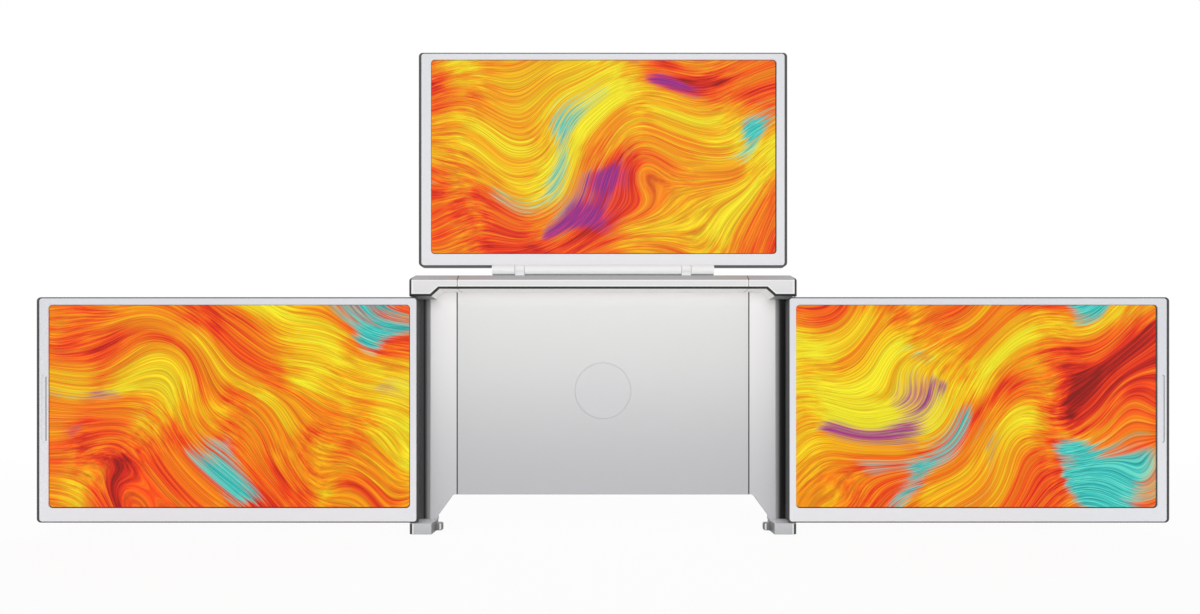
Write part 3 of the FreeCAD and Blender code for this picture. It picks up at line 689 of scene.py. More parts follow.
def start_block(name: str, x: Pair, y: Pair, z: Pair) -> bpy.types.Object:
    """Adds a block that fills three ranges, to be shaped further.

    Args:
        name: The piece's name.
        x: Its range along X.
        y: Its range along Y.
        z: Its range along Z.

    Returns:
        The block.
    """
    bpy.ops.object.select_all(action="DESELECT")
    middle = [(pair[0] + pair[1]) / 2 for pair in (x, y, z)]
    bpy.ops.mesh.primitive_cube_add(size=1.0, location=middle)
    piece = bpy.context.object
    piece.name = name
    piece.scale = [abs(pair[1] - pair[0]) for pair in (x, y, z)]
    drop_place(piece)
    return piece


def start_disc(name: str, centre: Vector, radius: float, depth: float, sides: int = 96) -> bpy.types.Object:
    """Adds a round disc whose axis is Y, from its centre forwards and back by half its depth.

    Args:
        name: The piece's name.
        centre: The middle of the disc.
        radius: Its radius.
        depth: Its thickness.
        sides: How many sides its rim has.

    Returns:
        The disc.
    """
    bpy.ops.object.select_all(action="DESELECT")
    bpy.ops.mesh.primitive_cylinder_add(
        vertices=sides, radius=radius, depth=depth, location=centre, rotation=(math.pi / 2, 0.0, 0.0)
    )
    piece = bpy.context.object
    piece.name = name
    drop_place(piece)
    return piece


def round_edges(piece: bpy.types.Object, wanted: Wanted, width: float, steps: int = 4) -> None:
    """Bevels the wanted edges by a width, in that many steps.

    Args:
        piece: The piece.
        wanted: The test on an edge's middle and direction.
        width: How far the bevel reaches.
        steps: How many strips it has.
    """
    with editing(piece) as mesh:
        pick_edges(piece, mesh, wanted)
        bpy.ops.mesh.bevel(offset=width, segments=steps, profile=0.5, affect="EDGES", clamp_overlap=True)


def split_at(piece: bpy.types.Object, place: Vector, facing: Vector) -> None:
    """Splits the faces of a piece along a plane.

    Args:
        piece: The piece.
        place: A point on the plane.
        facing: The plane's normal.
    """
    with editing(piece):
        bpy.ops.mesh.select_all(action="SELECT")
        bpy.ops.mesh.bisect(plane_co=place, plane_no=facing)


def use_modifier(piece: bpy.types.Object, kind: str, **settings: object) -> None:
    """Adds a modifier and applies it.

    Args:
        piece: The piece.
        kind: The modifier's type.
        **settings: What is set on it first.
    """
    select_only(piece)
    added = piece.modifiers.new(kind.title(), kind)
    for name, value in settings.items():
        setattr(added, name, value)
    bpy.ops.object.modifier_apply(modifier=added.name)


def cut_with(piece: bpy.types.Object, tool: bpy.types.Object, how: str = "DIFFERENCE") -> None:
    """Takes a tool's shape out of a piece, or joins it on, and deletes the tool.

    Args:
        piece: The piece.
        tool: The shape to take out or to join on.
        how: The Boolean operation.
    """
    use_modifier(piece, "BOOLEAN", object=tool, operation=how, solver="EXACT")
    bpy.data.objects.remove(tool)


def tidy_faces(piece: bpy.types.Object) -> None:
    """Merges doubles and flat neighbours.

    Args:
        piece: The piece.
    """
    with editing(piece):
        bpy.ops.mesh.select_all(action="SELECT")
        bpy.ops.mesh.remove_doubles(threshold=0.002 * MM)
        bpy.ops.mesh.dissolve_limited(angle_limit=math.radians(0.5))


def soften(piece: bpy.types.Object, width: float, steps: int = 3, angle: float = 30.0) -> None:
    """Breaks every sharp edge, as a tool or a mould leaves it, and shades the rest smooth.

    Args:
        piece: The piece.
        width: How far a broken edge reaches.
        steps: How many strips it has.
        angle: The angle in degrees from which an edge is sharp.
    """
    use_modifier(
        piece,
        "BEVEL",
        width=width,
        segments=steps,
        limit_method="ANGLE",
        angle_limit=math.radians(angle),
        use_clamp_overlap=True,
        harden_normals=False,
    )
    select_only(piece)
    bpy.ops.object.shade_smooth_by_angle(angle=math.radians(angle))
    use_modifier(piece, "WEIGHTED_NORMAL", weight=90, keep_sharp=True)


def trim_front(piece: bpy.types.Object, front: float, width: float, finish: Finish) -> None:
    """Draws the front faces in, and gives the strip left round them a finish that is a painted highlight.

    Args:
        piece: The piece.
        front: Y of the front plane.
        width: How wide the strip is.
        finish: The strip's finish.
    """
    piece.data.materials.append(finish.material())
    index = len(piece.data.materials) - 1

    def on_front(middle: Vector, normal: Vector) -> bool:
        """Whether a face lies in the front plane."""
        return normal.y < -0.99 and abs(middle.y - front) < 0.02 * MM

    with editing(piece) as mesh:
        pick_faces(piece, mesh, on_front)
        bpy.ops.mesh.inset(thickness=width)
        mesh = bmesh.from_edit_mesh(piece.data)
        for face in mesh.faces:
            if not face.select and on_front(face.calc_center_median(), face.normal):
                face.material_index = index
        bmesh.update_edit_mesh(piece.data)


def mirrored(piece: bpy.types.Object, side: Side) -> None:
    """Moves a piece that was built on the right over to its own side.

    Args:
        piece: The piece.
        side: The side it belongs to.
    """
    if side is Side.LEFT:
        piece.scale.x = -1.0
        drop_place(piece)
        with editing(piece):
            bpy.ops.mesh.select_all(action="SELECT")
            bpy.ops.mesh.normals_make_consistent(inside=False)


def copy_of(node: str, name: str) -> bpy.types.Object:
    """A merged copy of a node's mesh, to be finished further.

    Args:
        node: The node whose mesh is copied.
        name: The name of the copy.

    Returns:
        The copy.
    """
    piece = bpy.data.objects.new(name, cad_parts[node].data.copy())
    bpy.context.scene.collection.objects.link(piece)
    piece.data.materials.clear()
    tidy_faces(piece)
    return piece


@dataclass
class Space:
    """The box of a node, as three ranges."""

    x: Pair
    y: Pair
    z: Pair

    @classmethod
    def of(cls, node: str) -> Space:
        """The box of a node at rest."""
        low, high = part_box(node)
        return cls((low[0], high[0]), (low[1], high[1]), (low[2], high[2]))


def grown(pair: Pair, amount: float) -> Pair:
    """A range with both ends moved outwards."""
    return (pair[0] - amount, pair[1] + amount)


def flank(side: Side, near: float, far: float) -> Pair:
    """The X range between two distances from the middle.

    Args:
        side: The side.
        near: The nearer distance.
        far: The further one.

    Returns:
        The range, low end first.
    """
    ends = sorted((side.value * near, side.value * far))
    return (ends[0], ends[1])


def give(piece: bpy.types.Object, finish: Finish) -> None:
    """Gives a node that keeps its own mesh one finish in all its slots."""
    for slot in piece.material_slots:
        slot.material = finish.material()


def start_finish(piece: bpy.types.Object, finish: Finish) -> None:
    """Clears a new piece's slots and gives every face one finish.

    Args:
        piece: The piece.
        finish: The finish of all its faces.
    """
    piece.data.materials.clear()
    piece.data.materials.append(finish.material())
    for face in piece.data.polygons:
        face.material_index = 0


def give_faces(piece: bpy.types.Object, finish: Finish, wanted: Wanted) -> None:
    """Gives the wanted faces of a piece another finish.

    Args:
        piece: The piece.
        finish: The finish.
        wanted: The test on a face's middle and normal.
    """
    piece.data.materials.append(finish.material())
    index = len(piece.data.materials) - 1
    for face in piece.data.polygons:
        if wanted(face.center, face.normal):
            face.material_index = index


def seat(piece: bpy.types.Object, body: str, slot: str, *nodes: str) -> None:
    """Fixes a finished piece to its body, in place of its nodes.

    Args:
        piece: The finished piece.
        body: The body that it rides on.
        slot: Not used.
        *nodes: The nodes that it takes the place of.
    """
    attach(piece, body)
    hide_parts(*nodes)
    LOG.info("made %s on %s", piece.name, body)


def dress(node: str, finish: Finish) -> None:
    """Gives a node that keeps its own shape a finish."""
    give(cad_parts[node], finish)
    LOG.info("dressed %s", node)


# The finishes of this object

# Painted shade of the two channels, as tones by millimetres from the crease. Only the left one turns grey
# again.
CHANNEL_TONES = {
    Side.LEFT: (
        (0.0, "EBEBED"),
        (1.2, "B0B0B2"),
        (3.2, "909092"),
        (4.4, "6A6A6C"),
        (5.6, "262627"),
        (6.2, "0C0C0D"),
        (6.8, "4C4C4E"),
        (8.6, "6E6E70"),
    ),
    Side.RIGHT: ((0.0, "EBEBED"), (1.6, "B0B0B2"), (3.2, "8C8C8E"), (4.2, "505052"), (5.4, "0C0C0D")),
}

# Painted light on the plate and wings: darker towards the bottom, a painted highlight just under the bar
# against its shadow, and the wings lighter overall against the shade of the monitors
PLATE = SilverFace("plate_silver", "E8EAE8", "C3C4C8", (0.03, 0.215), crown="FFFFFF")
WING = SilverFace("wing_silver", "F8F8F8", "CDCED2", (0.02, 0.205), crown="FFFFFF")
# Painted light: the hinge tab is whiter towards its foot against the shade there, and its knuckles are a
# little darker towards theirs to blend with it
HINGE_TAB = SilverFace("hinge_tab_silver", "ECECEE", "FFFFFF", (0.2245, 0.232), grain=0.03)
KNUCKLE = SilverFace("knuckle_silver", "F2F2F4", "ECECEE", (0.223, 0.234), grain=0.03)
# Painted light: undersides are whitened against their shade so that they merge with the plate below
UNDERSIDE_LIGHT = SilverFace("under_silver", "FFFFFF", "FCFCFC", (0.2, 0.211), grain=0.02)
# Painted shade: the lug's bottom face is painted grey
LUG_BOTTOM_SHADE = SilverFace("lug_bottom_grey", "9E9EA0", "98989A", (0.2, 0.211))
# Painted light: the badge and the bar are a little lighter towards the top
BADGE = SilverFace("badge_silver", "DEDEE0", "D2D2D5", (0.09, 0.16), grain=0.03)
BAR = SilverFace("bar_silver", "E8E8E9", "E0E0E1", (0.2, 0.225))
# Painted shade: the bar's chamfer is the same silver, painted darker
SHADED_CHAMFER = SilverFace("chamfer_grey", "AAAAAB", "A2A2A3", (0.2, 0.225))
# Painted highlight: a bright strip just inside an edge
HIGHLIGHT_STRIP = SilverFace("bright_edge", "F4F4F4", "F0F0F1", (0.0, 0.225), roughness=0.3, grain=0.02)
# Painted shade: near-black on silver bevels along the bar's lower edge, the corner block's end, and the
# foot's and tab's edges
SHADE_EDGE = Moulded("dark_edge", "1E1F20", "262728", 0.35)
# Painted shade: near-black on the bevels at the seams between plate, wings and bar
SEAM_SHADE = Moulded("seam_edge", "242526", "2A2B2C", 0.4)
# Painted shade: the grey line at the right side of each finger notch
NOTCH_SHADE = Moulded("notch_edge", "8E8F92", "98999C", 0.4)
# Painted shade: the bezel's rounded sides, darker than its front
RIM_SHADE = Moulded("rim_edge", "6A6B6D", "747577", 0.4)
# Painted shade: the line along the lower edge of the upper monitor's hinge tab
TAB_SHADE_LINE = Moulded("tab_edge", "B4B5B8", "B8B9BC", 0.4)
# Painted shade: the dark line along the plate's lower edge
LOWER_SHADE_LINE = Moulded("lower_edge", "66676A", "6E6F72", 0.5)
# Painted light: the foot's front is a little lighter towards its top
FOOT = SilverFace("foot_silver", "C9CCCE", "C0C3C6", (0.0, 0.011))
# Painted shade on the foot's inner side; the tab's body takes the same grey
FOOT_SIDE_SHADE = SilverFace("foot_side", "8E8E90", "808082", (0.0, 0.011))
# Painted light: the foot's top face is lighter than its front
FOOT_TOP_LIGHT = SilverFace("foot_top", "E4E5E6", "DCDDDE", (0.0, 0.011))
# Painted light: the bezels are lighter towards their bottom
BEZEL = SilverFace("bezel_silver", "E2E4EA", "EEF1F6", (0.01, 0.2), grain=0.03, roughness=0.4)
UPPER_BEZEL = SilverFace("upper_bezel_silver", "E1E3E7", "E9EAEE", (0.23, 0.42), grain=0.03, roughness=0.4)
SHELL = Moulded("shell_graphite", "3A3A3C", "3E3E40", 0.46)
BUTTON = Moulded("button_black", "1B1B1C", "232324", 0.38, coat=0.2)
GUIDE = Moulded("guide_plastic", "222223", "2B2B2C", 0.35)
RUBBER = Moulded("pad_rubber", "1A1A1B", "262627", 0.72, scale=900.0, depth=0.06)
BOARD = SolderMask("board_green")
STEEL = Brushed("hinge_steel", "A9A9AC", Axis.X)
PIN_STEEL = Brushed("pin_steel", "BDBDC0", Axis.Z, 0.24)
TONGUE = Brushed("tongue_steel", "B4B5B8", Axis.X, 0.36)
SCREW = Brushed("screw_black", "3B3B3D", Axis.X, 0.4)
SOCKET = Brushed("socket_steel", "C4C4C7", Axis.Z, 0.28)


# Monitors


@dataclass
class Monitor:
    """One monitor: its bezel and buttons are modelled here, the rest keeps its own shape."""

    name: str
    body: str
    free: Side
    bezel_finish: SilverFace
    seed: float
    turn: float
    notched: bool = True
    bezel_depth: float = 1.0 * MM
    panel_border: float = 1.2 * MM
    window_round: float = 3.4 * MM
    outer_round: float = 2.5 * MM
    notch_length: float = 58.0 * MM
    notch_width: float = 3.2 * MM
    notch_depth: float = 0.55 * MM
    notch_inset: float = 4.4 * MM
    notch_height: float = 97.5 * MM
    notch_line: float = 1.2 * MM
    notch_round: float = 1.536 * MM
    notch_reach: float = 0.3 * MM
    edge_break: float = 0.22 * MM
    end_edge: float = 0.4 * MM
    button_break: float = 0.25 * MM

    def node(self, part: str) -> str:
        """The full name of one of this monitor's nodes."""
        return f"{self.name}_{part}"

    def build(self) -> None:
        """Models and dresses the whole monitor."""
        self.make_bezel()
        self.make_buttons()
        self.dress_picture()
        dress(self.node("rear_shell"), SHELL)
        dress(self.node("driver_board"), BOARD)
        dress(self.node("usb_c_socket"), SOCKET)
        dress(self.node("screws"), SCREW)

    def picture(self) -> Space:
        """The space of the picture itself, inside the panel's border."""
        panel = Space.of(self.node("display_panel"))
        return Space(grown(panel.x, -self.panel_border), panel.y, grown(panel.z, -self.panel_border))

    def make_bezel(self) -> None:
        """A sheet with round corners, a window for the picture, and any finger notch."""
        space = Space.of(self.node("bezel"))
        front, back = space.y[0], space.y[0] + self.bezel_depth
        bezel = start_block(self.node("bezel_frame"), space.x, (front, back), space.z)
        along_y = runs_along(Axis.Y)
        round_edges(bezel, lambda middle, run: along_y(run), self.outer_round, 6)
        picture = self.picture()
        window = start_block("window", picture.x, grown((front, back), MM), picture.z)
        round_edges(window, lambda middle, run: along_y(run), self.window_round, 6)
        cut_with(bezel, window)
        notch = self.notch_space(front)
        if self.notched:
            cut_with(bezel, self.notch_tool(notch))
        tidy_faces(bezel)
        if self.free is Side.LEFT:
            self.split_beside(bezel, notch)
        soften(bezel, self.edge_break)
        start_finish(bezel, self.bezel_finish)
        # Painted shade on the bezel's rounded left and right ends
        ends = grown(space.x, -self.end_edge)
        give_faces(
            bezel,
            RIM_SHADE,
            lambda middle, normal: abs(normal.x) > LEANING and not ends[0] < middle.x < ends[1],
        )
        if self.notched:
            self.line_notch(bezel, notch)
        seat(bezel, self.body, "bezel_silver", self.node("bezel"))

    def split_beside(self, bezel: bpy.types.Object, notch: Space) -> None:
        """Splits the bezel's front round the strip to the right of the notch, which gets painted shade.

        Args:
            bezel: The bezel.
            notch: The space of the notch.
        """
        split_at(bezel, OUTWARD * (notch.x[1] + self.notch_line), OUTWARD)
        for height in grown(notch.z, -self.notch_width / 2):
            split_at(bezel, UPWARD * height, UPWARD)

    def line_notch(self, bezel: bpy.types.Object, notch: Space) -> None:
        """Paints shade on the notch's right side, and beside the left monitor's notch also on the strip.

        Args:
            bezel: The bezel, finished.
            notch: The space of the notch.
        """
        low, high = grown(notch.z, self.notch_reach)
        half, line = sum(notch.x) / 2, notch.x[1] + self.notch_line
        give_faces(
            bezel,
            NOTCH_SHADE,
            lambda middle, normal: half < middle.x < line
            and low < middle.z < high
            and (abs(normal.y) < 0.95 or (self.free is Side.LEFT and middle.x > notch.x[1])),
        )

    def notch_space(self, front: float) -> Space:
        """The space of the finger notch near the free edge.

        Args:
            front: Y of the bezel's front.

        Returns:
            The space, which starts in front of the bezel.
        """
        rim = Space.of(self.node("rear_shell"))
        edge = rim.x[1] if self.free is Side.RIGHT else rim.x[0]
        near = edge - self.free.value * self.notch_inset
        far = near - self.free.value * self.notch_width
        middle = rim.z[0] + self.notch_height
        x = (min(near, far), max(near, far))
        z = grown((middle, middle), self.notch_length / 2)
        return Space(x, (front - MM, front + self.notch_depth), z)

    def notch_tool(self, space: Space) -> bpy.types.Object:
        """The shape that cuts the notch, round at both ends.

        Args:
            space: The space of the notch.

        Returns:
            The tool.
        """
        tool = start_block("notch", space.x, space.y, space.z)
        along_y = runs_along(Axis.Y)
        round_edges(tool, lambda middle, run: along_y(run), self.notch_round, 6)
        return tool

    def dress_picture(self) -> None:
        """Lights the panel with this monitor's own picture."""
        picture = self.picture()
        low, high = (picture.x[0], picture.z[0]), (picture.x[1], picture.z[1])
        dress(
            self.node("display_panel"),
            StreakPicture(self.node("picture"), low, high, picture.y[0], self.seed, self.turn),
        )

    def make_buttons(self) -> None:
        """Rounds the two push buttons."""
        for part in ("power_button", "menu_button"):
            node = self.node(part)
            button = copy_of(node, node + "_cap")
            soften(button, self.button_break)
            start_finish(button, BUTTON)
            seat(button, node, "button_dark", node)


# Centre of the bracket


@dataclass
class Centre:
    """The plate, badge, bar and back shell between the two wings."""

    body: str = "centre"
    plate_break: float = 0.2 * MM
    seam_break: float = 0.5 * MM
    lower_break: float = 0.5 * MM
    seam_from: float = 100.0 * MM
    plate_depth: float = 2.0 * MM
    chamfer: float = 5.05 * MM
    slot_clearance: float = 0.25 * MM
    recess: float = 0.55 * MM
    badge_gap: float = 0.16 * MM
    badge_break: float = 0.12 * MM
    ring_inset: float = 0.6 * MM
    ring_width: float = 0.25 * MM
    ring_depth: float = 0.12 * MM

    def build(self) -> None:
        """Models and dresses the centre."""
        self.make_plate()
        self.make_badge()
        self.make_bar()
        for node, finish in (
            ("centre_back_shell", SHELL),
            ("slide_guides", GUIDE),
            ("main_board", BOARD),
            ("usb_c_sockets", SOCKET),
            ("top_hinge_brackets", KNUCKLE),
            ("top_hinge_pins", PIN_STEEL),
            ("centre_screws", SCREW),
            ("left_wing_spring", STEEL),
            ("right_wing_spring", STEEL),
        ):
            dress(node, finish)

    def make_plate(self) -> None:
        """The flat front, with a round seat for the badge."""
        space = Space.of("centre_front_plate")
        disc = Space.of("badge_disc")
        front = space.y[0]
        plate = start_block("front_plate", space.x, (front, front + self.plate_depth), space.z)
        centre = Vector((sum(disc.x) / 2, front, sum(disc.z) / 2))
        radius = (disc.x[1] - disc.x[0]) / 2
        cut_with(plate, start_disc("seat", centre, radius, 2 * self.recess, 128))
        tidy_faces(plate)
        along_x, along_z = runs_along(Axis.X), runs_along(Axis.Z)
        edge, low = abs(space.x[0]) - NEAR, space.z[0] + NEAR

        def seam_edge(middle: Vector, run: Vector) -> bool:
            """Whether an edge is an upright one at the front."""
            return along_z(run) and abs(middle.x) > edge and middle.y < front + NEAR

        def lower_edge(middle: Vector, run: Vector) -> bool:
            """Whether an edge is the long one at the bottom of the front."""
            return along_x(run) and middle.z < low and middle.y < front + NEAR

        round_edges(plate, seam_edge, self.seam_break, 2)
        round_edges(plate, lower_edge, self.lower_break, 1)
        soften(plate, self.plate_break)
        start_finish(plate, PLATE)
        # Painted shade on the bevel along the lower edge and on the bevels at the seams
        give_faces(
            plate,
            LOWER_SHADE_LINE,
            lambda middle, normal: normal.z < -LEANING and middle.z < low + self.lower_break,
        )
        give_faces(
            plate,
            SEAM_SHADE,
            lambda middle, normal: abs(normal.x) > LEANING and abs(middle.x) > self.seam_from,
        )
        seat(plate, self.body, "plate_silver", "centre_front_plate")

    def make_badge(self) -> None:
        """A bare disc with a fine ring round it."""
        space = Space.of("badge_disc")
        centre = Vector((sum(space.x) / 2, sum(space.y) / 2, sum(space.z) / 2))
        radius = (space.x[1] - space.x[0]) / 2 - self.badge_gap
        disc = start_disc("badge", centre, radius, space.y[1] - space.y[0], 128)
        with editing(disc) as mesh:
            pick_faces(disc, mesh, lambda middle, normal: normal.y < -0.9)
            bpy.ops.mesh.inset(thickness=self.ring_inset)
            bpy.ops.mesh.inset(thickness=self.ring_width)
        self.sink_ring(disc, centre, radius)
        soften(disc, self.badge_break, 2)
        start_finish(disc, BADGE)
        seat(disc, self.body, "badge_silver", "badge_disc")

    def sink_ring(self, disc: bpy.types.Object, centre: Vector, radius: float) -> None:
        """Presses the narrow ring just inside the badge's edge down a little.

        Args:
            disc: The badge.
            centre: Its middle.
            radius: Its radius.
        """
        inner = radius - self.ring_inset - self.ring_width - SAME
        outer = radius - self.ring_inset + SAME
        with editing(disc) as mesh:
            pick_faces(
                disc,
                mesh,
                lambda middle, normal: normal.y < -0.9
                and inner < math.hypot(middle.x - centre.x, middle.z - centre.z) < outer,
            )
            push(y=self.ring_depth)

    def make_bar(self) -> None:
        """The bar along the top: chamfered, with the slot that the wings' tongues slide in."""
        space = Space.of("top_bar_beam")
        bar = start_block("top_bar", space.x, space.y, space.z)
        chamfer_top_front(bar, space, self.chamfer)
        tongue = tongue_space(Side.LEFT)
        slot_y, slot_z = grown(tongue.y, self.slot_clearance), grown(tongue.z, self.slot_clearance)
        cut_with(bar, start_block("slot", grown(space.x, MM), slot_y, slot_z))
        edge_bar(bar, space, abs(space.x[0]))
        tone_bar(bar, space, abs(space.x[0]))
        seat(bar, self.body, "bar_silver", "top_bar_beam")


TONGUE_INSET = 3.45 * MM
TONGUE_FLOOR = 2.45 * MM
TONGUE_HEIGHT = 5.3 * MM


def tongue_space(side: Side) -> Space:
    """The space of a wing's tongue inside the bar.

    Args:
        side: The side of the wing.

    Returns:
        The space.
    """
    block, beam = Space.of(f"{side.label}_corner_block"), Space.of("top_bar_beam")
    start = min(abs(block.x[0]), abs(block.x[1]))
    x = flank(side, start, abs(beam.x[1]) + MM)
    floor = beam.z[0] + TONGUE_FLOOR
    return Space(x, grown(beam.y, -TONGUE_INSET), (floor, floor + TONGUE_HEIGHT))


def chamfer_top_front(piece: bpy.types.Object, space: Space, width: float) -> None:
    """Cuts the long upper front edge off a length of bar.

    Args:
        piece: The length of bar.
        space: The space of its straight part.
        width: How wide the chamfer is.
    """
    along_x = runs_along(Axis.X)

    def top_front(middle: Vector, run: Vector) -> bool:
        """Whether an edge is the long one at the top of the front."""
        return along_x(run) and middle.y < space.y[0] + NEAR and middle.z > space.z[1] - NEAR

    round_edges(piece, top_front, width, 1)


BAR_EDGE = 1.7 * MM
BAR_STRIP = 0.85 * MM
BAR_BREAK = 0.25 * MM
BAR_SEAM = 0.35 * MM
SEAM_REACH = 0.5 * MM
LUG_DROP = 5.5 * MM

# How far the chamfer reaches down from the bar's top and back from its front
BAR_SLOPE = 5.3 * MM
BAR_FRONT = 4.9 * MM


def edge_bar(piece: bpy.types.Object, space: Space, seam: float) -> None:
    """Rounds a length of bar and draws its front in, with a painted highlight strip round it.

    Args:
        piece: The length, chamfered and cut, on the right.
        space: The space of its straight part.
        seam: How far from the middle its seam with the next length lies.
    """
    front, top = space.y[0], space.z[1]
    along_y = runs_along(Axis.Y)
    tidy_faces(piece)
    start_finish(piece, BAR)

    def at_seam(middle: Vector) -> bool:
        """Whether a place lies in the seam's plane."""
        return abs(abs(middle.x) - seam) < NEAR

    def outline(middle: Vector, run: Vector) -> bool:
        """Whether an edge is on the outline, apart from its seam and its chamfer."""
        level = abs(run.x) > ALONG and middle.z > top - BAR_SLOPE
        return not (level or along_y(run) or at_seam(middle)) and middle.y < front + BAR_FRONT

    def seam_edge(middle: Vector, run: Vector) -> bool:
        """Whether an edge runs round the front of the seam."""
        return at_seam(middle) and middle.y < front + BAR_FRONT and not along_y(run)

    round_edges(piece, outline, BAR_EDGE, 3)
    round_edges(piece, seam_edge, BAR_SEAM, 1)
    tidy_faces(piece)
    trim_front(piece, front, BAR_STRIP, HIGHLIGHT_STRIP)


def tone_bar(piece: bpy.types.Object, space: Space, seam: float, side: Side = Side.RIGHT) -> None:
    """Moves a length of bar to its side, breaks its edges and gives each face its tone, with painted light
    and shade: whitened undersides, a grey lug bottom and chamfer, and dark edge bevels and seams.

    Args:
        piece: The length of bar, on the right.
        space: The space of its straight part.
        seam: How far from the middle its seam lies.
        side: The side it belongs to.
    """
    front = space.y[0]
    mirrored(piece, side)
    soften(piece, BAR_BREAK, 2)
    lug_low = space.z[0] - LUG_DROP
    give_faces(piece, UNDERSIDE_LIGHT, lambda middle, normal: normal.z < -LEANING and middle.z > lug_low)
    give_faces(piece, LUG_BOTTOM_SHADE, lambda middle, normal: normal.z < -0.9 and middle.z < lug_low)
    give_faces(piece, SHADED_CHAMFER, lambda middle, normal: normal.z > 0.6 and normal.y < -0.6)
    give_faces(
        piece,
        SHADE_EDGE,
        lambda middle, normal: front + 0.02 * MM < middle.y
        and (-FLAT < normal.y < -0.12 or (normal.z < -LEANING and middle.y < front + BAR_EDGE))
        and not (normal.z > 0.6 and abs(normal.x) < 0.2),
    )
    give_faces(
        piece,
        SEAM_SHADE,
        lambda middle, normal: abs(abs(middle.x) - seam) < SEAM_REACH and abs(normal.x) > LEANING,
    )


# Wings


@dataclass
class Wing:
    """One sliding wing: face, channel, corner block, foot and the tab for the lid."""

    side: Side
    plate_break: float = 0.2 * MM
    seam_break: float = 0.35 * MM
    foot_break: float = 0.3 * MM
    foot_edge: float = 3.0 * MM
    foot_strip: float = 1.2 * MM
    tab_round: float = 1.3 * MM
    tab_edge: float = 1.1 * MM
    tab_strip: float = 1.3 * MM
    tab_break: float = 0.15 * MM
    plate_depth: float = 2.25 * MM
    leg_width: float = 6.1 * MM
    leg_splay: float = 13.5 * MM
    leg_knee: float = 3.3 * MM
    leg_round: float = 2.4 * MM
    chamfer: float = 5.05 * MM
    corner_chamfer: float = 3.4 * MM
    # Widths of the painted shade band and the painted highlight strip at the block's outer end, and of the
    # painted shade along its cut corner
    end_dark: float = 2.4 * MM
    end_bright: float = 1.5 * MM
    slope_dark: float = 1.6 * MM
    lug_slope: float = 7.0 * MM
    lug_length: float = 18.9 * MM
    foot_step: float = 3.0 * MM
    crease_width: float = 2.9 * MM
    crease_depth: float = 1.6 * MM
    crease_steps: tuple[float, ...] = (0.35, 0.7, 1.0)
    crease_curve: float = 1.6
    column_break: float = 0.2 * MM
    block_gap: float = 0.2 * MM

    def __post_init__(self) -> None:
        """Reads the places that the wing's pieces share."""
        self.body = f"{self.side.label}_wing"
        self.centre_space = Space.of("centre_back_shell")
        self.face = Space.of(self.node("wing_plate"))
        self.column = Space.of(self.node("hinge_column"))
        self.plate_y = self.face.y[0]

    def node(self, part: str) -> str:
        """The full name of one of this wing's nodes."""
        return f"{self.side.label}_{part}"

    def build(self) -> None:
        """Models and dresses the wing."""
        self.make_face()
        self.make_column()
        self.make_corner_block()
        self.make_foot()
        self.make_tab()
        for part, finish in (
            ("slide_tongue", TONGUE),
            ("wing_back_cover", SHELL),
            ("foot_pad", RUBBER),
            ("pivot_pins", PIN_STEEL),
            ("wing_screws", SCREW),
        ):
            dress(self.node(part), finish)

    def make_face(self) -> None:
        """The upright face, extruded down into a leg that slopes out to the foot."""
        body_low = self.centre_space.z[0]
        depth = (self.plate_y, self.plate_y + self.plate_depth)
        face = start_block(self.node("wing_face"), self.face.x, depth, (body_low, self.face.z[1]))
        leg_inner = max(abs(self.face.x[0]), abs(self.face.x[1])) - self.leg_width
        corner = leg_inner - self.leg_splay
        knee = self.face.z[0] + self.leg_knee
        self.extrude_leg(face, (corner, body_low), (leg_inner, knee))
        self.round_leg(face, ((corner, body_low), (leg_inner, knee)))
        tidy_faces(face)
        inner = min(abs(self.face.x[0]), abs(self.face.x[1])) + NEAR
        along_z = runs_along(Axis.Z)
        front = self.plate_y + NEAR
        round_edges(
            face,
            lambda middle, run: along_z(run) and abs(middle.x) < inner and middle.y < front,
            self.seam_break,
            2,
        )
        soften(face, self.plate_break)
        start_finish(face, WING)
        seam = inner + self.seam_break
        # Painted shade on the bevels at the wing's seam with the plate
        give_faces(
            face, SEAM_SHADE, lambda middle, normal: abs(normal.x) > LEANING and abs(middle.x) < seam
        )
        seat(face, self.body, "plate_silver", self.node("wing_plate"))

    def extrude_leg(self, face: bpy.types.Object, upper: Pair, lower: Pair) -> None:
        """Pulls the leg down from the face in two lengths: one that slopes out, one upright.

        Args:
            face: The wing's face.
            upper: The upper bend, as a distance from the middle and a height.
            lower: The lower bend in the same way.
        """
        sign = self.side.value
        (corner, body_low), (leg_inner, knee) = upper, lower
        split_at(face, OUTWARD * sign * corner, OUTWARD)
        with editing(face) as mesh:
            pick_faces(face, mesh, lambda middle, normal: normal.z < -0.9 and abs(middle.x) > corner + MM)
            push(z=knee - body_low)
        with editing(face) as mesh:
            bpy.ops.mesh.select_mode(type="VERT")
            for vert in mesh.verts:
                vert.select_set(abs(vert.co.z - knee) < SAME and abs(abs(vert.co.x) - corner) < SAME)
            bmesh.update_edit_mesh(face.data)
            bpy.ops.transform.translate(value=(sign * (leg_inner - corner), 0.0, 0.0))
        with editing(face) as mesh:
            pick_faces(face, mesh, lambda middle, normal: normal.z < -0.9 and middle.z < knee + SAME)
            push(z=self.face.z[0] - knee)

    def round_leg(self, face: bpy.types.Object, bends: Sequence[Pair]) -> None:
        """Rounds the leg's two bends, given as a distance from the middle and a height.

        Args:
            face: The wing's face.
            bends: The two bends.
        """
        along_y = runs_along(Axis.Y)

        def at_bend(middle: Vector, run: Vector) -> bool:
            """Whether an edge crosses the sheet at one of the bends."""
            return along_y(run) and any(
                math.hypot(abs(middle.x) - x, middle.z - z) < 0.05 * MM for x, z in bends
            )

        round_edges(face, at_bend, self.leg_round, 5)

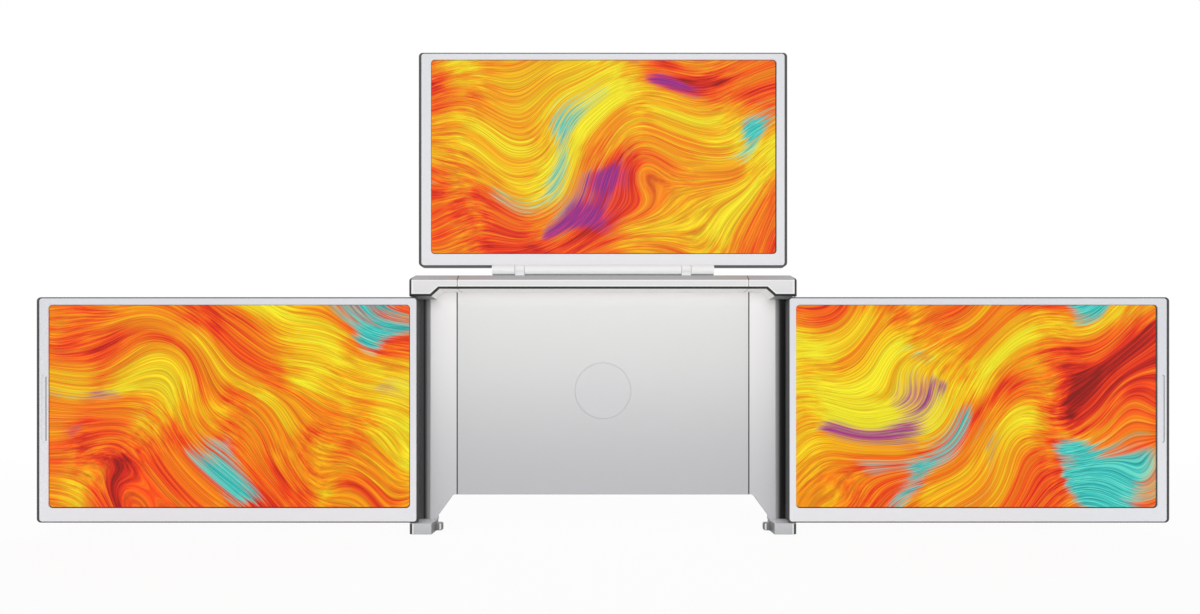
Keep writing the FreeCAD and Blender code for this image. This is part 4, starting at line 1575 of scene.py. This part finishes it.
    def make_column(self) -> None:
        """The channel behind the monitor's inner edge, with its front pulled up to the crease."""
        sign = self.side.value
        floor = self.plate_y + self.crease_depth
        near = min(abs(self.column.x[0]), abs(self.column.x[1]))
        column = start_block(self.node("channel"), self.column.x, (floor, self.column.y[1]), self.column.z)
        for step in self.crease_steps:
            split_at(column, OUTWARD * sign * (near + self.crease_width * step), OUTWARD)
        with editing(column) as mesh:
            bpy.ops.mesh.select_mode(type="VERT")
            for vert in mesh.verts:
                out = (abs(vert.co.x) - near) / self.crease_width
                if abs(vert.co.y - floor) < SAME and out < 0.99:
                    vert.co.y = floor - self.crease_depth * (1.0 - out) ** self.crease_curve
            bmesh.update_edit_mesh(column.data)
        soften(column, self.column_break, 2, 40.0)
        start_finish(column, SHELL)
        # The channel's front faces get painted shade, grey at the crease and black further out
        give_faces(
            column,
            ChannelShade(self.node("channel_shade"), self.side, near, CHANNEL_TONES[self.side]),
            lambda middle, normal: normal.y < -LEANING,
        )
        seat(column, self.body, "column_dark", self.node("hinge_column"))

    def make_corner_block(self) -> None:
        """A length of the bar with the lug under its outer end and the tongue at its inner end."""
        whole, beam = Space.of(self.node("corner_block")), Space.of("top_bar_beam")
        reach = max(abs(whole.x[0]), abs(whole.x[1]))
        start = abs(beam.x[1]) + self.block_gap
        space = Space((start, reach), whole.y, beam.z)
        block = start_block(self.node("corner_block_skin"), space.x, space.y, space.z)
        chamfer_top_front(block, space, self.chamfer)
        self.cut_top_corner(block, reach, space.z[1])
        cut_with(block, self.lug(reach, whole, beam), "UNION")
        tongue = tongue_space(Side.RIGHT)
        cut_with(block, start_block("tongue", tongue.x, tongue.y, tongue.z), "UNION")
        edge_bar(block, space, start)
        self.split_end(block, reach, space.z[1])
        tone_bar(block, space, start, self.side)
        self.tone_end(block, reach, space.z[1])
        seat(block, self.body, "bar_silver", self.node("corner_block"))

    def split_end(self, block: bpy.types.Object, reach: float, top: float) -> None:
        """Splits the block's faces where the band of painted shade and the strip of painted highlight at
        its outer end stop.

        Args:
            block: The corner block.
            reach: How far from the middle it ends.
            top: Z of its top.
        """
        for distance, facing in (
            (reach - self.end_dark, OUTWARD),
            (reach - self.end_dark - self.end_bright, OUTWARD),
            (reach + top - self.corner_chamfer - self.slope_dark, OUTWARD + UPWARD),
        ):
            split_at(block, OUTWARD * distance, facing)

    def tone_end(self, block: bpy.types.Object, reach: float, top: float) -> None:
        """Gives the block's outer end its band of painted shade and the strip of painted highlight inside
        it.

        Args:
            block: The corner block, on its side.
            reach: How far from the middle it ends.
            top: Z of its top.
        """
        dark = reach - self.end_dark
        bright = dark - self.end_bright
        corner = reach + top - self.corner_chamfer - self.slope_dark
        give_faces(block, HIGHLIGHT_STRIP, lambda middle, normal: normal.y < -FLAT and abs(middle.x) > bright)
        give_faces(
            block,
            SHADE_EDGE,
            lambda middle, normal: normal.y < -LEANING
            and (abs(middle.x) > dark or abs(middle.x) + middle.z > corner),
        )

    def cut_top_corner(self, block: bpy.types.Object, reach: float, top: float) -> None:
        """Cuts the outer top corner off the block.

        Args:
            block: The corner block.
            reach: How far from the middle it ends.
            top: Z of its top.
        """

        def outer_top(middle: Vector, run: Vector) -> bool:
            """Whether an edge belongs to the outer end's upper rim."""
            flat = abs(run.x) < 0.01
            return flat and abs(middle.x) > reach - NEAR and middle.z > top - NEAR

        round_edges(block, outer_top, self.corner_chamfer, 1)

    def lug(self, reach: float, whole: Space, beam: Space) -> bpy.types.Object:
        """The lug over the monitor's corner, with its inner side slanted.

        Args:
            reach: How far from the middle the lug ends.
            whole: The space of the corner block.
            beam: The space of the bar.

        Returns:
            The lug, on the right.
        """
        start, top = reach - self.lug_length, beam.z[0]
        lug = start_block("lug", (start, reach), (whole.y[0], self.plate_y), (whole.z[0], top))
        with editing(lug) as mesh:
            bpy.ops.mesh.select_mode(type="VERT")
            for vert in mesh.verts:
                vert.select_set(vert.co.z > top - SAME and abs(vert.co.x) < start + SAME)
            bmesh.update_edit_mesh(lug.data)
            bpy.ops.transform.translate(value=(-self.lug_slope, 0.0, 0.0))
        return lug

    def make_foot(self) -> None:
        """The foot under the monitor's inner corner, with its narrower part under the wing."""
        whole = Space.of(self.node("foot_block"))
        ends = sorted((abs(whole.x[0]), abs(whole.x[1])))
        foot = start_block(
            self.node("foot"), flank(self.side, ends[0], ends[1]), (whole.y[0], self.plate_y), whole.z
        )
        rear_x = flank(self.side, ends[0] + self.foot_step, ends[1])
        cut_with(foot, start_block("rear", rear_x, (self.plate_y - MM, whole.y[1]), whole.z), "UNION")
        tidy_faces(foot)
        outer, front = ends[1] - NEAR, whole.y[0] + NEAR
        along_z = runs_along(Axis.Z)
        round_edges(
            foot,
            lambda middle, run: along_z(run) and abs(middle.x) > outer and middle.y < front,
            self.foot_edge,
            3,
        )
        strip = self.side.value * (ends[1] - self.foot_edge - self.foot_strip)
        split_at(foot, OUTWARD * strip, OUTWARD)
        soften(foot, self.foot_break, 2)
        start_finish(foot, FOOT)
        # Painted light and shade: a darker inner side, a bright strip and dark bevel on the outer rounded
        # edge, and a lighter top
        inward = -self.side.value
        give_faces(foot, FOOT_SIDE_SHADE, lambda middle, normal: normal.x * inward > 0.5)
        give_faces(
            foot, HIGHLIGHT_STRIP, lambda middle, normal: normal.y < -FLAT and abs(middle.x) > abs(strip)
        )
        give_faces(
            foot,
            SHADE_EDGE,
            lambda middle, normal: -FLAT < normal.y < -0.1
            and abs(normal.z) < 0.1
            and abs(middle.x) > abs(strip),
        )
        give_faces(foot, FOOT_TOP_LIGHT, lambda middle, normal: normal.z > 0.9)
        seat(foot, self.body, "bar_silver", self.node("foot_block"))

    def make_tab(self) -> None:
        """The small hook for the lid's lower edge: round at its end, with a painted highlight strip and
        painted shade there.
        """
        space = Space.of(self.node("lid_tab"))
        tab = start_block(self.node("tab"), space.x, space.y, space.z)
        along_y = runs_along(Axis.Y)
        inner, front = min(abs(space.x[0]), abs(space.x[1])), space.y[0] + NEAR
        round_edges(
            tab, lambda middle, run: along_y(run) and abs(middle.x) < inner + NEAR, self.tab_round, 5
        )
        round_edges(
            tab,
            lambda middle, run: not along_y(run)
            and middle.y < front
            and abs(middle.x) < inner + self.tab_round + NEAR,
            self.tab_edge,
            3,
        )
        strip = inner + self.tab_edge + self.tab_strip
        split_at(tab, OUTWARD * strip * self.side.value, OUTWARD)
        soften(tab, self.tab_break, 2)
        # The tab's body takes the foot side's grey; its round end gets a painted highlight strip and
        # painted shade on its bevels
        start_finish(tab, FOOT_SIDE_SHADE)
        give_faces(tab, HIGHLIGHT_STRIP, lambda middle, normal: normal.y < -FLAT and abs(middle.x) < strip)
        give_faces(
            tab, SHADE_EDGE, lambda middle, normal: -FLAT < normal.y < -0.1 and abs(middle.x) < strip
        )
        seat(tab, self.body, "bar_silver", self.node("lid_tab"))


# Hinge of the upper monitor


@dataclass
class TopHinge:
    """The cover below the upper monitor, and the leaves inside it."""

    body: str = "top_screen"
    cover_break: float = 0.3 * MM

    def build(self) -> None:
        """Rounds the cover and dresses the leaves."""
        cover = copy_of("top_hinge_cover", "hinge_tab")
        soften(cover, self.cover_break)
        # Painted light in the tab's tone, and painted shade along its lower edge
        start_finish(cover, HINGE_TAB)
        give_faces(cover, TAB_SHADE_LINE, lambda middle, normal: normal.z < -0.8)
        seat(cover, self.body, "bezel_silver", "top_hinge_cover")
        dress("top_hinge_leaves", STEEL)


# Room, light and camera

WHITE = (1.0, 1.0, 1.0, 1.0)


@dataclass
class Studio:
    """A white room, soft lamps and the camera of the photograph."""

    photo_width: float = 1200.0
    scale: float = 0.855 * MM
    distance: float = 0.440
    eye_height: float = 0.1156
    eye_x: float = 0.0
    middle_px: float = 603.0
    horizon_px: float = 400.0
    photo_height: float = 614.0
    sensor: float = 36.0
    world_strength: float = 0.52
    floor_size: float = 12.0
    floor_drop: float = 0.0002
    floor_glow: Pair = (0.93, 1.0)
    floor_reach: Pair = (0.25, 1.1)
    object_half: float = 0.45
    lamp_aim: float = 0.2
    clip_start: float = 0.01
    clip_end: float = 50.0

    def build(self) -> None:
        """Makes the room, the lamps and the camera."""
        self.make_world()
        self.make_floor()
        self.make_lamps()
        self.make_camera()

    def make_world(self) -> None:
        """White to the camera and in reflections, and a softer white as a light."""
        world = bpy.data.worlds.new("studio")
        bpy.context.scene.world = world
        nodes = Nodes(world)
        sockets = {0: self.seen_plainly(nodes), 3: self.world_strength, 4: 1.0}
        strength = nodes.of(nodes.node("ShaderNodeMapRange", {}, sockets))
        light = nodes.node("ShaderNodeBackground", {}, {"Color": WHITE, "Strength": strength})
        nodes.node("ShaderNodeOutputWorld", {}, {0: nodes.of(light)})

    def seen_plainly(self, nodes: Nodes) -> Sock:
        """1 for rays of the camera, in reflections and through glass, and 0 for light.

        Args:
            nodes: The nodes of the material or world.

        Returns:
            The mask.
        """
        path = nodes.node("ShaderNodeLightPath", {}, {})
        seen = nodes.sums("MAXIMUM", nodes.of(path, "Is Camera Ray"), nodes.of(path, "Is Glossy Ray"))
        return nodes.sums("MAXIMUM", seen, nodes.of(path, "Is Transmission Ray"))

    def make_floor(self) -> None:
        """A wide pale floor that is white to the camera but keeps a faint shadow."""
        bpy.ops.object.select_all(action="DESELECT")
        bpy.ops.mesh.primitive_plane_add(size=self.floor_size, location=(0.0, 0.0, -self.floor_drop))
        floor = bpy.context.object
        floor.name = "floor"
        material = bpy.data.materials.new("floor_white")
        graph = Graph(material)
        graph.shade(Base_Color=(0.86, 0.86, 0.86, 1.0), Roughness=0.7)
        glow = graph.node("ShaderNodeEmission", {}, {"Color": WHITE, "Strength": 1.0})
        x, y, _ = graph.place()
        away = graph.sums("MAXIMUM", abs(x) - self.object_half, 0.0)
        away = (away * away + y * y) ** 0.5
        fade = graph.between(away, *self.floor_reach, self.floor_glow)
        sockets = {0: self.seen_plainly(graph) * fade, 1: graph.of(graph.shader), 2: graph.of(glow)}
        mixed = graph.node("ShaderNodeMixShader", {}, sockets)
        graph.tree.links.new(mixed.outputs[0], graph.out.inputs[0])
        floor.data.materials.append(material)

    def make_lamps(self) -> None:
        """A large soft lamp in front, one above, and one behind."""
        for name, place, size, power in (
            ("lamp_front", (0.0, -2.5, 0.9), 2.2, 27.0),
            ("lamp_top", (0.0, 0.0, 2.4), 1.8, 7.0),
            ("lamp_back", (0.0, 2.5, 1.2), 2.2, 22.0),
        ):
            lamp = bpy.data.lights.new(name, "AREA")
            lamp.energy = power
            lamp.shape = "SQUARE"
            lamp.size = size
            holder = bpy.data.objects.new(name, lamp)
            bpy.context.scene.collection.objects.link(holder)
            holder.location = place
            aim = Vector((0.0, 0.0, self.lamp_aim)) - Vector(place)
            holder.rotation_euler = aim.to_track_quat("-Z", "Y").to_euler()

    def make_camera(self) -> None:
        """A level camera close in front, framed as the photograph is."""
        front = Space.of("left_screen_rear_shell").y[0]
        camera = bpy.data.cameras.new("camera")
        holder = bpy.data.objects.new("camera", camera)
        bpy.context.scene.collection.objects.link(holder)
        holder.location = (self.eye_x, front - self.distance, self.eye_height)
        holder.rotation_euler = (math.pi / 2, 0.0, 0.0)
        camera.sensor_width = self.sensor
        camera.lens = self.sensor * self.distance / (self.photo_width * self.scale)
        camera.shift_x = (self.photo_width / 2 - self.middle_px) / self.photo_width
        camera.shift_y = (self.horizon_px - self.photo_height / 2) / self.photo_width
        camera.clip_start = self.clip_start
        camera.clip_end = self.clip_end
        bpy.context.scene.camera = holder


def main() -> None:
    """Builds the sub-assemblies in order, then the room."""
    logging.basicConfig(level=logging.INFO, format="%(name)s: %(message)s")
    bpy.context.scene.view_settings.view_transform = "Standard"
    Centre().build()
    for side in Side:
        Wing(side).build()
        name = f"{side.label}_screen"
        dress(name + "_hinge_bushes", STEEL)
    Monitor("left_screen", "left_screen", Side.LEFT, BEZEL, 4.2, 2.75).build()
    Monitor("right_screen", "right_screen", Side.RIGHT, BEZEL, 17.6, 0.55).build()
    Monitor("top_screen", "top_screen", Side.RIGHT, UPPER_BEZEL, 31.3, 0.4, notched=False).build()
    TopHinge().build()
    Studio().build()


if __name__ == "__main__":
    main()
